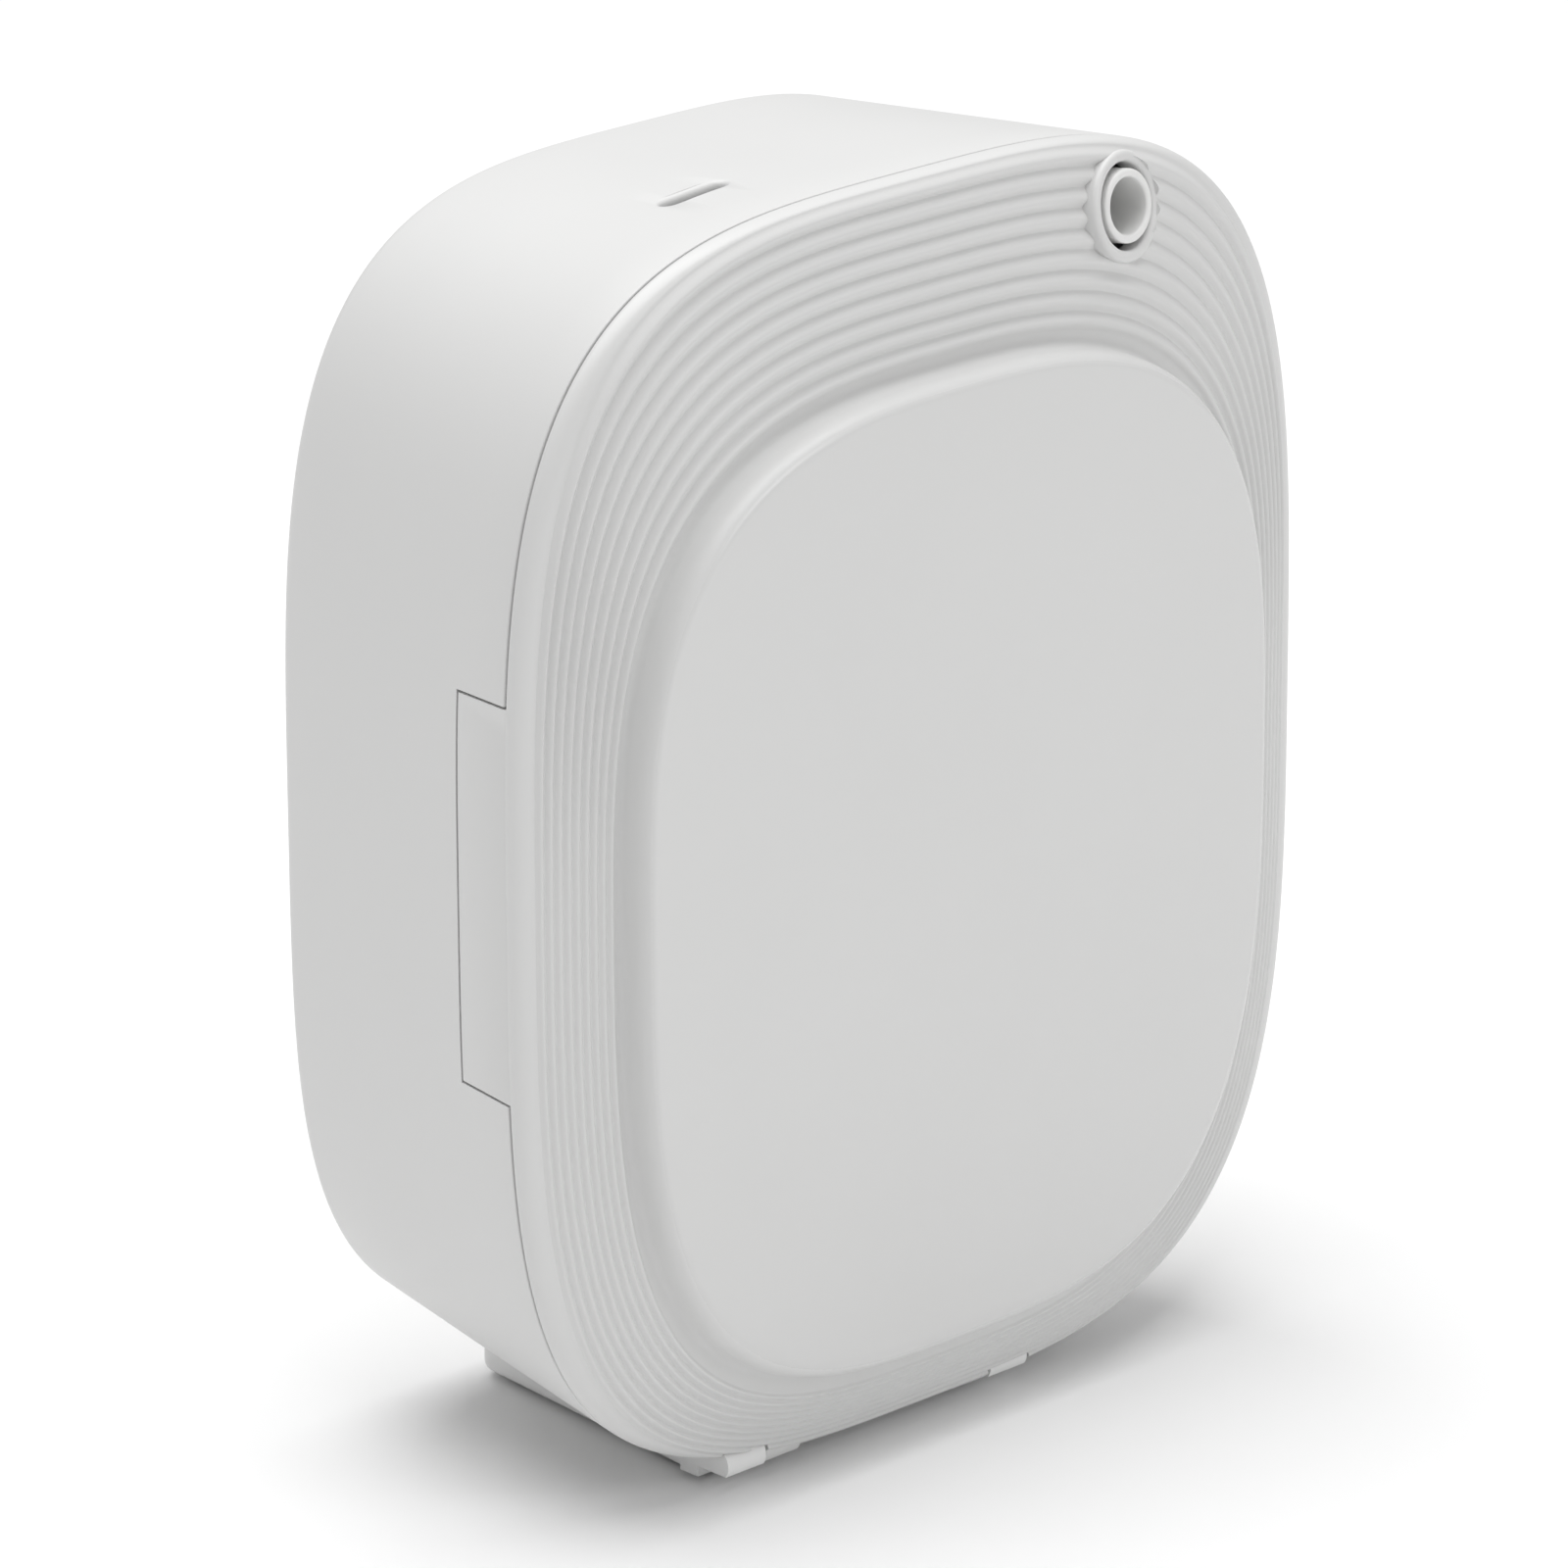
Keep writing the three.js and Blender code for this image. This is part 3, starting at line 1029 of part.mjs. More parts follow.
// The hose runs from the pump's barb, up beside the bay divider, to the barb on the atomiser head.
function airHose() {
  const from = HEAD_RIGHT + BARB_LENGTH + 2 * CLEAR;
  const to = BARB_X - BARB_LENGTH - 2 * CLEAR;
  const upright = BAY.left - DIVIDER - HOSE_RADIUS - 1.2;
  const points = [
    new THREE.Vector3(from, PUMP_Y, PUMP_Z + PUMP_BARB_RISE),
    new THREE.Vector3(from + 2, PUMP_Y, PUMP_Z + PUMP_BARB_RISE),
    new THREE.Vector3(upright - 2, PUMP_Y, PUMP_Z + 16),
    new THREE.Vector3(upright, PUMP_Y, PUMP_Z + 32),
    new THREE.Vector3(upright, PUMP_Y - 1, 10),
    new THREE.Vector3(upright, BOTTLE_Y, BARB_Z - 18),
    new THREE.Vector3(upright + 1, BOTTLE_Y, BARB_Z - 6),
    new THREE.Vector3(to - 2, BOTTLE_Y, BARB_Z),
    new THREE.Vector3(to, BOTTLE_Y, BARB_Z),
  ];
  return pipe(new THREE.CatmullRomCurve3(points), HOSE_RADIUS, HOSE_BORE, 26, 4);
}

piece('air_hose', airHose(), milkyPlastic);

// ---------------------------------------------------------------- battery and power inlet

const HOLDER_LENGTH = CELL_LENGTH + 6;
const cellHeights = [HOLDER.z - CELL_PITCH / 2, HOLDER.z + CELL_PITCH / 2];

function batteryHolder() {
  const { left, y, z, wall } = HOLDER;
  const half = CELL_PITCH / 2 + CELL_RADIUS + wall + TRAY_GAP;
  const back = y + CELL_RADIUS + wall + TRAY_GAP;
  const tray = box(left, left + HOLDER_LENGTH, y - 4, back, z - half, z + half);
  const troughs = cellHeights.flatMap((height) => [
    bar('x', CELL_RADIUS + 0.5, left + wall, left + HOLDER_LENGTH - wall, y, height),
    box(left + wall, left + HOLDER_LENGTH - wall, y - 20, y, height - CELL_RADIUS - 0.5,
      height + CELL_RADIUS + 0.5)]);
  return cut(tray, ...troughs);
}

piece('battery_holder', batteryHolder(), blackPlastic);

cellHeights.forEach((height, i) => {
  const low = HOLDER.left + HOLDER.wall + 0.5;
  const can = bar('x', CELL_RADIUS, low, low + CELL_LENGTH - 1.2, HOLDER.y, height, 24);
  const end = i === 0 ? [low - CLEAR / 2, low + 1] : [low + CELL_LENGTH - 2, low + CELL_LENGTH - 0.2];
  const button = bar('x', 3, end[0], end[1], HOLDER.y, height, 16);
  piece(`battery_cell_${i + 1}`, join(can, button), cellWrap);
});

function powerInlet() {
  const { x, z, radius, length } = JACK;
  const block = box(x - JACK.body / 2, x + JACK.body / 2, INNER_BACK - CLEAR - length, INNER_BACK - CLEAR,
    z - JACK.body / 2, z + JACK.body / 2);
  const sleeve = bar('y', radius, INNER_BACK - 1, HOUSING_DEPTH - 0.2, x, z, 20);
  const bore = bar('y', 2.75, INNER_BACK - 9, HOUSING_DEPTH + 1, x, z, 20);
  const pin = bar('y', 1, INNER_BACK - 10, HOUSING_DEPTH - 1, x, z, 10);
  return join(cut(join(block, sleeve), bore), pin);
}

piece('power_inlet', powerInlet(), blackPlastic);

export default model;
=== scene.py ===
# %% [markdown]
# # Wall-mounted scent diffuser
# A white moulded machine that blows scented air from a small tube. A deep housing holds an oil
# bottle, an air pump, batteries and a control board, and a ribbed front cover swings down on two pins.
# The measured model is loaded first as a fixed frame. Everything made here is drawn round it.

# %% Load the frame
import json
import math

import bmesh
import bpy
from mathutils import Matrix, Vector


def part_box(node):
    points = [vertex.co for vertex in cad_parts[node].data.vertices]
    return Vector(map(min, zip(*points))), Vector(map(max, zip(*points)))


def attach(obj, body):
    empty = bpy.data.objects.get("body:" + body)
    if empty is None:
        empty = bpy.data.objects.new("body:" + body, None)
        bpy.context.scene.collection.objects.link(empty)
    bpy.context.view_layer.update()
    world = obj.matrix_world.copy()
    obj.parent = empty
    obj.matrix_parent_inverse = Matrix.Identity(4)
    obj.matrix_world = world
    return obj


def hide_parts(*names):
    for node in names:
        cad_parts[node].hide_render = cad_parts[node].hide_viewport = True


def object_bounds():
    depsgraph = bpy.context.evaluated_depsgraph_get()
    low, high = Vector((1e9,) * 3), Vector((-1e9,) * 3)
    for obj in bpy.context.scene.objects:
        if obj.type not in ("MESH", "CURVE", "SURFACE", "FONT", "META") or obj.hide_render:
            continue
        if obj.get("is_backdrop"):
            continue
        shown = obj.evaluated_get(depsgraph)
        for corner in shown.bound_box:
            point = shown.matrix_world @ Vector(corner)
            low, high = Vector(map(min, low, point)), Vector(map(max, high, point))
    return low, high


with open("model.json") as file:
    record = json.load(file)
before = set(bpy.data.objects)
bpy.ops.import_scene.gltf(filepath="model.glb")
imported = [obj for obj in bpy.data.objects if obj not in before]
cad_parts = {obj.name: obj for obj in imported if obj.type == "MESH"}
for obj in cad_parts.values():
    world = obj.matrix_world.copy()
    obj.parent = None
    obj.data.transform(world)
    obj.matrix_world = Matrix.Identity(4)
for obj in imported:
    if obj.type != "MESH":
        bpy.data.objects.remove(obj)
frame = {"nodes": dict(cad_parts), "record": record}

cad_low, cad_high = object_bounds()
print("the frame is", [round(v, 4) for v in cad_high - cad_low], "metres")

# %% [markdown]
# ## One set of sizes
# A maker thinks in millimetres from one clear datum. Here that is the plane where cover and housing
# part: y is 0 there and grows to the back, and x and z are 0 in the middle of the outline. Shapes
# are drawn in those millimetres and put in place, in metres, only when they are finished.

# %% Sizes in millimetres
MM = 0.001
RAISE = 108.7
HOUSING_DEPTH = 66.4
WALL = 2.4
TO_FRAME = Matrix.Translation((
    0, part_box("rear_housing")[1].y - HOUSING_DEPTH * MM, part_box("foot_pad_1")[0].z + RAISE * MM))
TO_FRAME = TO_FRAME @ Matrix.Scale(MM, 4)

# Each outline is half its width, its height above and below the middle, and how square it is there.
SEAM = (88, 105, 105.8, 3.5, 3.5)
BACK = (77, 100, 97, 3.5, 3.8)
RIM = (84.6, 104.2, 105.6, 3.45, 3.4)
VALLEY = (71.8, 75.8, 95.6, 2.9, 3.25)
PANEL = (68.5, 71, 88, 2.85, 3.1)
print("the parting plane lies at y =", round(TO_FRAME.translation.y, 4))

# %% [markdown]
# ## Camera
# A long lens from a metre and a half away keeps upright lines nearly parallel, as in a product
# picture. The camera stands to the left and above, and looks at the middle of the machine.

# %% Camera
AZIMUTH = math.radians(-43.706)
ELEVATION = math.radians(19.412)
ROLL = math.radians(-0.223)
DISTANCE = 1.586
LENS = 221.38

back = Vector((math.sin(AZIMUTH) * math.cos(ELEVATION), -math.cos(AZIMUTH) * math.cos(ELEVATION),
               math.sin(ELEVATION)))
target = TO_FRAME @ Vector((0.915, 30, -5.991))
camera = bpy.data.objects.new("camera", bpy.data.cameras.new("camera"))
camera.data.lens = LENS
camera.data.sensor_width = 36
camera.matrix_world = (Matrix.Translation(target + back * DISTANCE)
                       @ back.to_track_quat("Z", "Y").to_matrix().to_4x4()
                       @ Matrix.Rotation(ROLL, 4, "Z"))
bpy.context.scene.collection.objects.link(camera)
bpy.context.scene.camera = camera
print("camera at", [round(v, 3) for v in camera.location])

# %% [markdown]
# ## Shader maths as Python
# Nodes can be wired one by one, but a formula reads better. `Value` wraps one socket, and each
# operator on it adds a Math node, so `0.3 + 0.1 * grain` builds the nodes that it says.
# `Finish` owns one material, and its `node` method adds any other kind of node.

# %% Values and finishes
class Value:
    """One socket of a material, with arithmetic."""

    def __init__(self, finish, socket):
        self.finish = finish
        self.socket = socket

    def __add__(self, other):
        return self.finish.maths("ADD", self, other)

    def __sub__(self, other):
        return self.finish.maths("SUBTRACT", self, other)

    def __rsub__(self, other):
        return self.finish.maths("SUBTRACT", other, self)

    def __mul__(self, other):
        return self.finish.maths("MULTIPLY", self, other)

    __radd__ = __add__
    __rmul__ = __mul__


class Finish:
    """A node material built round one Principled shader."""

    def __init__(self, name, **constants):
        self.material = bpy.data.materials.new(name)
        self.material.use_nodes = True
        self.tree = self.material.node_tree
        self.shader = self.tree.nodes["Principled BSDF"]
        for socket, value in constants.items():
            self.shader.inputs[socket.replace("_", " ")].default_value = value
        self.place = self.node("ShaderNodeTexCoord", {}, {}, "Object")

    def node(self, kind, settings, sockets, output=0):
        made = self.tree.nodes.new(kind)
        for name, value in settings.items():
            setattr(made, name, value)
        for name, value in sockets.items():
            self.join(value, made.inputs[name])
        return Value(self, made.outputs[output])

    def join(self, value, socket):
        if isinstance(value, Value):
            self.tree.links.new(value.socket, socket)
        else:
            socket.default_value = value

    def maths(self, operation, first, second):
        return self.node("ShaderNodeMath", {"operation": operation}, {0: first, 1: second})

    def mix(self, factor, first, second):
        sockets = {0: factor, 6: first, 7: second}
        return self.node("ShaderNodeMix", {"data_type": "RGBA"}, sockets, 2)

    def noise(self, scale, detail=2.0, vector=None):
        sockets = {"Vector": vector or self.place, "Scale": scale, "Detail": detail}
        return self.node("ShaderNodeTexNoise", {}, sockets, "Fac")

    def stretched(self, x, y, z):
        """Object coordinates drawn out along one axis, for brushed or combed marks."""
        return self.node("ShaderNodeMapping", {}, {"Vector": self.place, "Scale": (x, y, z)})

    def axis(self, name):
        return self.node("ShaderNodeSeparateXYZ", {}, {"Vector": self.place}, name)

    def step(self, value, low, high):
        """0 below low and 1 above high, with a smooth turn between."""
        return self.node("ShaderNodeMapRange", {"interpolation_type": "SMOOTHSTEP"},
                         {"Value": value, "From Min": low, "From Max": high})

    def bump(self, height, strength, distance):
        sockets = {"Height": height, "Strength": strength, "Distance": distance}
        self.feed("Normal", self.node("ShaderNodeBump", {}, sockets))

    def feed(self, socket, value):
        self.join(value, self.shader.inputs[socket])


print("a formula on values now makes Math nodes")

# %% [markdown]
# ## Satin white plastic
# The housing, cover and foot are ABS from a spark-eroded mould, which leaves a very fine, even grain.
# Two noises do it: a fine one lifts the surface by hundredths of a millimetre, and a slow one lets
# gloss and whiteness drift, as real mouldings do. The flat panel comes from a more polished part
# of the mould, so a mask on depth makes only that area glossier.

# %% White finishes
PANEL_PLANE = (TO_FRAME @ Vector((0, -13.6, 0))).y


def satin_white(name, shade, roughness, grain=0.16, polished_panel=False):
    finish = Finish(name)
    drift = finish.noise(22, 3)
    fine = finish.noise(2600, 2)
    darker = tuple(0.965 * part for part in shade[:3]) + (1,)
    finish.feed("Base Color", finish.mix(drift, darker, shade))
    gloss = roughness + 0.06 * (drift - 0.5) + 0.05 * (fine - 0.5)
    if polished_panel:
        behind = finish.step(finish.axis("Y"), PANEL_PLANE - 0.2 * MM, PANEL_PLANE + 0.4 * MM)
        gloss = gloss - 0.15 * (1 - behind)
    finish.feed("Roughness", gloss)
    finish.bump(fine + 0.5 * finish.noise(900, 2), grain, 0.00006)
    print("made", name)
    return finish.material


housing_white = satin_white("housing_white", (0.705, 0.705, 0.7, 1), 0.44)
cover_white = satin_white("cover_white", (0.705, 0.705, 0.7, 1), 0.40, polished_panel=True)
# The foot's white is set much paler than the housing's. This is painted light that brightens its sides
# against the shade it stands in.
foot_white_painted_light = satin_white("foot_white_painted_light", (0.9, 0.9, 0.895, 1), 0.46)
tube_white = satin_white("tube_white", (0.82, 0.82, 0.81, 1), 0.36, 0.08)
deck_white = satin_white("deck_white", (0.78, 0.78, 0.77, 1), 0.48)

# %% [markdown]
# ## Darker plastics and rubber
# Keys, switch, display and battery tray are coloured plastics, and the pads and seals are rubber.
# The same recipe serves all of them with other numbers: rubber is rougher, carries more grain, and
# is dusted with a little pale bloom.

# %% Coloured plastics and rubber
def moulded(name, shade, roughness, grain_size=1800, grain=0.2, bloom=0.12):
    finish = Finish(name)
    fine = finish.noise(grain_size, 3)
    drift = finish.noise(45, 3)
    pale = tuple(min(1.0, part + 0.06) for part in shade) + (1,)
    finish.feed("Base Color", finish.mix(bloom * 4 * (drift - 0.3), (*shade, 1), pale))
    finish.feed("Roughness", roughness + 0.12 * (drift - 0.5) + 0.08 * (fine - 0.5))
    finish.bump(fine, grain, 0.00008)
    print("made", name)
    return finish.material


grey_plastic = moulded("grey_plastic", (0.27, 0.28, 0.30), 0.46)
black_plastic = moulded("black_plastic", (0.022, 0.022, 0.024), 0.42)
lens_black = moulded("lens_black", (0.008, 0.009, 0.012), 0.10, grain=0.0, bloom=0.02)
pad_rubber = moulded("pad_rubber", (0.035, 0.035, 0.037), 0.82, 1100, 0.45, 0.2)
seal_rubber = moulded("seal_rubber", (0.05, 0.05, 0.052), 0.75, 1300, 0.4, 0.2)
cell_wrap = moulded("cell_wrap", (0.03, 0.11, 0.34), 0.30, 700, 0.12, 0.1)

# %% [markdown]
# ## Steel
# Screws, pins and the spring are zinc plated, and the motor's can is drawn. Drawing and turning
# leave fine lines, so the noise is stretched along one axis before it feeds roughness and bump.

# %% Steels
def drawn_steel(name, shade, roughness, along):
    finish = Finish(name, Metallic=1.0)
    lines = finish.noise(9000, 3, finish.stretched(*along))
    stain = finish.noise(160, 3)
    dull = tuple(0.78 * part for part in shade) + (1,)
    finish.feed("Base Color", finish.mix(stain, dull, (*shade, 1)))
    finish.feed("Roughness", roughness + 0.18 * (lines - 0.5) + 0.10 * (stain - 0.5))
    finish.bump(lines, 0.15, 0.00004)
    print("made", name)
    return finish.material


zinc_steel = drawn_steel("zinc_steel", (0.66, 0.66, 0.67), 0.30, (1, 0.15, 1))
motor_steel = drawn_steel("motor_steel", (0.55, 0.55, 0.56), 0.36, (0.05, 1, 1))

# %% [markdown]
# ## Clear and milky plastics, and the circuit board
# The bottle is blown, milky polyethylene and the hose is clear silicone: both let some light
# through, which is a constant on the shader. The board is green solder mask over copper tracks,
# drawn by a brick pattern, whose mortar lines make the tracks.

# %% Bottle, hose and board
def milky(name, shade, roughness, see_through):
    finish = Finish(name, Transmission_Weight=see_through, IOR=1.46)
    drift = finish.noise(60, 3)
    flow = finish.noise(500, 2, finish.stretched(1, 1, 0.1))
    warm = (shade[0], shade[1] * 0.985, shade[2] * 0.95, 1)
    finish.feed("Base Color", finish.mix(drift, (*shade, 1), warm))
    finish.feed("Roughness", roughness + 0.10 * (drift - 0.5))
    finish.bump(flow, 0.1, 0.0001)
    print("made", name)
    return finish.material


def circuit_board(name):
    finish = Finish(name)
    tracks = finish.node("ShaderNodeTexBrick", {"offset": 0.35, "squash": 0.7}, {
        "Vector": finish.node("ShaderNodeMapping", {}, {
            "Vector": finish.place, "Rotation": (math.pi / 2, 0, 0)}),
        "Color1": (0.012, 0.10, 0.045, 1), "Color2": (0.014, 0.12, 0.055, 1),
        "Mortar": (0.02, 0.20, 0.085, 1), "Scale": 190.0, "Mortar Size": 0.05}, "Color")
    speck = finish.noise(800, 2)
    finish.feed("Base Color", finish.mix(0.25 * speck, tracks, (0.01, 0.07, 0.03, 1)))
    finish.feed("Roughness", 0.28 + 0.12 * speck)
    finish.bump(speck, 0.1, 0.00005)
    print("made", name)
    return finish.material


bottle_milky = milky("bottle_milky", (0.82, 0.81, 0.77), 0.34, 0.25)
hose_clear = milky("hose_clear", (0.85, 0.85, 0.83), 0.25, 0.55)
board_green = circuit_board("board_green")

# %% [markdown]
# ## Drawing outlines
# The front view is neither a rectangle nor an ellipse but a superellipse, whose exponent says how
# square it is. Top and bottom halves have their own height and exponent. A whole skin is a stack
# of such outlines: a circle of vertices is laid on the first one, and each further ring is
# extruded from the last and laid on its own outline. Every vertex remembers its angle.

# %% Outlines and skins
def mixed(first, second, share):
    return tuple(a + (b - a) * share for a, b in zip(first, second))


def inset(outline, distance):
    half, top, bottom, square_top, square_bottom = outline
    return (half - distance, top - distance, bottom - distance, square_top, square_bottom)


def on_outline(outline, angle):
    half, top, bottom, square_top, square_bottom = outline
    cosine, sine = math.cos(angle), math.sin(angle)
    height, square = (top, square_top) if sine >= 0 else (bottom, square_bottom)
    return (math.copysign(half * abs(cosine) ** (2 / square), cosine),
            math.copysign(height * abs(sine) ** (2 / square), sine))


def at_depth(outline, y):
    """A ring on an outline, all at one depth."""
    def ring(angle):
        x, z = on_outline(outline, angle)
        return Vector((x, y, z))
    return ring


def skin(rings, segments):
    """A closed skin through a list of rings, capped at both ends."""
    shape = bmesh.new()
    turn = shape.verts.layers.float.new("turn")
    verts = bmesh.ops.create_circle(shape, segments=segments, radius=1)["verts"]
    for vertex in verts:
        vertex[turn] = math.atan2(vertex.co.y, vertex.co.x)
        vertex.co = rings[0](vertex[turn])
    edges = shape.edges[:]
    first_edges = edges
    for ring in rings[1:]:
        grown = bmesh.ops.extrude_edge_only(shape, edges=edges)["geom"]
        edges = [part for part in grown if isinstance(part, bmesh.types.BMEdge)]
        for vertex in grown:
            if isinstance(vertex, bmesh.types.BMVert):
                vertex.co = ring(vertex[turn])
    bmesh.ops.contextual_create(shape, geom=first_edges)
    bmesh.ops.contextual_create(shape, geom=edges)
    bmesh.ops.recalc_face_normals(shape, faces=shape.faces)
    return shape


print("a squircle is", on_outline(SEAM, math.radians(45)), "mm from the middle at 45 degrees")

# %% [markdown]
# ## Small helpers for solid shapes
# Boxes, bars and turned pieces are the rest of the vocabulary. A turned piece starts as a chain of
# vertices, its corners are rounded with a vertex bevel, and the chain is spun round its axis.

# %% Boxes, bars and turned pieces
def block(low, high):
    shape = bmesh.new()
    bmesh.ops.create_cube(shape, size=1)
    size = [b - a for a, b in zip(low, high)]
    middle = [(a + b) / 2 for a, b in zip(low, high)]
    bmesh.ops.scale(shape, vec=size, verts=shape.verts)
    bmesh.ops.translate(shape, vec=middle, verts=shape.verts)
    return shape


def edges_along(shape, axis, least=1.0):
    """Edges that run at least so far along one axis: 0 is x, 1 is y and 2 is z."""
    return [edge for edge in shape.edges
            if abs(edge.verts[0].co[axis] - edge.verts[1].co[axis]) > least]


def bevel_edges(shape, edges, width, segments=3):
    bmesh.ops.bevel(shape, geom=edges, offset=width, offset_type="OFFSET", segments=segments,
                    profile=0.5, affect="EDGES", clamp_overlap=True, material=-1)


def round_corners(shape, corners, rounding):
    if rounding:
        bmesh.ops.bevel(shape, geom=corners, offset=rounding, offset_type="OFFSET", segments=3,
                        profile=0.5, affect="VERTICES", clamp_overlap=True, material=-1)


def turned(profile, start, axis, rounding=0.0, segments=48):
    """A solid of revolution from (radius, distance along the axis) pairs."""
    shape = bmesh.new()
    chain = [shape.verts.new((radius, 0, height)) for radius, height in profile]
    for one, other in zip(chain, chain[1:]):
        shape.edges.new((one, other))
    round_corners(shape, chain[1:-1], rounding)
    return spun(shape, start, axis, segments)


def turned_ring(profile, start, axis, rounding=0.0, segments=48):
    """A solid of revolution with a hole through it: its profile closes on itself."""
    shape = bmesh.new()
    chain = [shape.verts.new((radius, 0, height)) for radius, height in profile]
    for one, other in zip(chain, chain[1:] + chain[:1]):
        shape.edges.new((one, other))
    round_corners(shape, chain, rounding)
    return spun(shape, start, axis, segments)


def spun(shape, start, axis, segments):
    bmesh.ops.spin(shape, geom=shape.verts[:] + shape.edges[:], cent=(0, 0, 0), axis=(0, 0, 1),
                   dvec=(0, 0, 0), angle=2 * math.pi, steps=segments, use_merge=True)
    bmesh.ops.remove_doubles(shape, verts=shape.verts, dist=1e-4)
    bmesh.ops.recalc_face_normals(shape, faces=shape.faces)
    turn = Vector((0, 0, 1)).rotation_difference(Vector(axis)).to_matrix().to_4x4()
    bmesh.ops.transform(shape, matrix=Matrix.Translation(start) @ turn, verts=shape.verts)
    return shape


def bar(radius, start, axis, length, segments=32):
    return turned([(0, 0), (radius, 0), (radius, length), (0, length)], start, axis, 0, segments)


print("helpers for blocks, bars and turned pieces are ready")

# %% [markdown]
# ## Joining and cutting
# Holes, notches and bosses are joined or cut with Boolean modifiers on short-lived objects. The
# result is taken back as a plain mesh, so no helper is left in the scene.

# %% Joining and cutting
def short_lived(shape):
    mesh = bpy.data.meshes.new("helper")
    shape.to_mesh(mesh)
    shape.free()
    made = bpy.data.objects.new("helper", mesh)
    bpy.context.scene.collection.objects.link(made)
    return made


def combined(base, tools, operation):
    """The base shape with each tool joined (UNION), cut away (DIFFERENCE) or kept (INTERSECT)."""
    target = short_lived(base)
    helpers = [short_lived(tool) for tool in tools]
    for helper in helpers:
        step = target.modifiers.new("step", "BOOLEAN")
        step.operation = operation
        step.solver = "MANIFOLD"
        step.object = helper
    bpy.context.view_layer.update()
    mesh = bpy.data.meshes.new_from_object(
        target.evaluated_get(bpy.context.evaluated_depsgraph_get()))
    shape = bmesh.new()
    shape.from_mesh(mesh)
    for made in [target, *helpers]:
        old = made.data
        bpy.data.objects.remove(made)
        bpy.data.meshes.remove(old)
    bpy.data.meshes.remove(mesh)
    if not shape.faces:
        raise ValueError(f"{operation} left nothing")
    return shape


def joined(base, *tools):
    return combined(base, tools, "UNION")


def cut(base, *tools):
    return combined(base, tools, "DIFFERENCE")


def kept(base, tool):
    return combined(base, [tool], "INTERSECT")


print("Boolean helpers are ready")

# %% [markdown]
# ## Finishing a piece
# A finished shape is shaded smooth except where two faces meet at a clear angle, scaled to metres
# and put in place. Then it rides on its body, takes the finish it is given and stands for its
# CAD node.

# %% Finishing a piece
SHARP = math.radians(38)


def finished(shape, name, node, material, body="housing", sharp=SHARP):
    bmesh.ops.transform(shape, matrix=TO_FRAME, verts=shape.verts)
    for face in shape.faces:
        face.smooth = True
        face.material_index = 0
    for edge in shape.edges:
        edge.smooth = len(edge.link_faces) == 2 and edge.calc_face_angle(0) < sharp
    mesh = bpy.data.meshes.new(name)
    shape.to_mesh(mesh)
    shape.free()
    mesh.materials.clear()
    mesh.materials.append(material)
    piece = bpy.data.objects.new(name, mesh)
    bpy.context.scene.collection.objects.link(piece)
    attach(piece, body)
    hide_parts(node)
    print("made", name, "with", len(mesh.polygons), "faces")


SLOTS = {part["node"]: part["material_slot"] for part in frame["record"]["subparts"]}
print(len(SLOTS), "nodes have a finish slot")

# %% [markdown]
# ## Rear housing
# A deep cup that tapers to the back. It is one skin: out from the middle of the inner floor, up
# the inside wall, over a slightly rounded lip, and back along the outside to the rounded rear edge.
# Openings come afterwards: a notch for each tab of the cover, the key slot, two keyholes to hang
# it by and a hole for the power plug.

# %% Housing skin
ROUND_SEGMENTS = 320
BACK_ROUND = 3.5
LIP_ROUND = 0.3
HOUSING_FRONT = 0.5


def housing_outline(y):
    return mixed(SEAM, BACK, y / HOUSING_DEPTH)


def quarter_turn(steps):
    """Sine and cosine of evenly spaced angles from 0 to 90 degrees."""
    angles = [math.radians(90 / steps * i) for i in range(steps + 1)]
    return [(math.sin(angle), math.cos(angle)) for angle in angles]


def rear_edge(out=0.0):
    """Rings round the housing's rounded rear edge, grown by a distance."""
    rings = []
    for sine, cosine in quarter_turn(12):
        y = HOUSING_DEPTH + out - BACK_ROUND * (1 - sine)
        rings.append(at_depth(inset(housing_outline(y), BACK_ROUND * (1 - cosine) - out), y))
    return rings


def housing_form(out, front, segments=ROUND_SEGMENTS):
    """The solid outside form of the housing, grown by a distance."""
    return skin([at_depth(inset(housing_outline(front), -out), front), *rear_edge(out)], segments)


def housing_skin():
    floor = HOUSING_DEPTH - WALL
    inner_round = BACK_ROUND / 2
    rings = []
    for sine, cosine in quarter_turn(6):
        y = floor - inner_round * (1 - cosine)
        rings.append(at_depth(inset(housing_outline(y), WALL + inner_round * (1 - sine)), y))
    rings.append(at_depth(inset(housing_outline(HOUSING_FRONT), WALL), HOUSING_FRONT))
    for i in range(5):
        angle = math.radians(90 - 22.5 * i)
        y = HOUSING_FRONT + LIP_ROUND * (1 - math.sin(angle))
        rings.append(at_depth(inset(housing_outline(y), LIP_ROUND * (1 - math.cos(angle))), y))
    for share in (0.15, 0.3, 0.45, 0.6, 0.75, 0.88):
        y = HOUSING_DEPTH * share
        rings.append(at_depth(housing_outline(y), y))
    return skin(rings + rear_edge(), ROUND_SEGMENTS)


print("the housing's outline at the back is", [round(v, 1) for v in housing_outline(HOUSING_DEPTH)])

# %% [markdown]
# ## Openings of the housing
# The notch for a tab has a sloping top edge, because the tab swings on pins far below it and its
# rear corner rises a little before it moves forward. The key slot is a stadium whose upper edge
# is rolled over, so its cutter flares where it meets the surface.

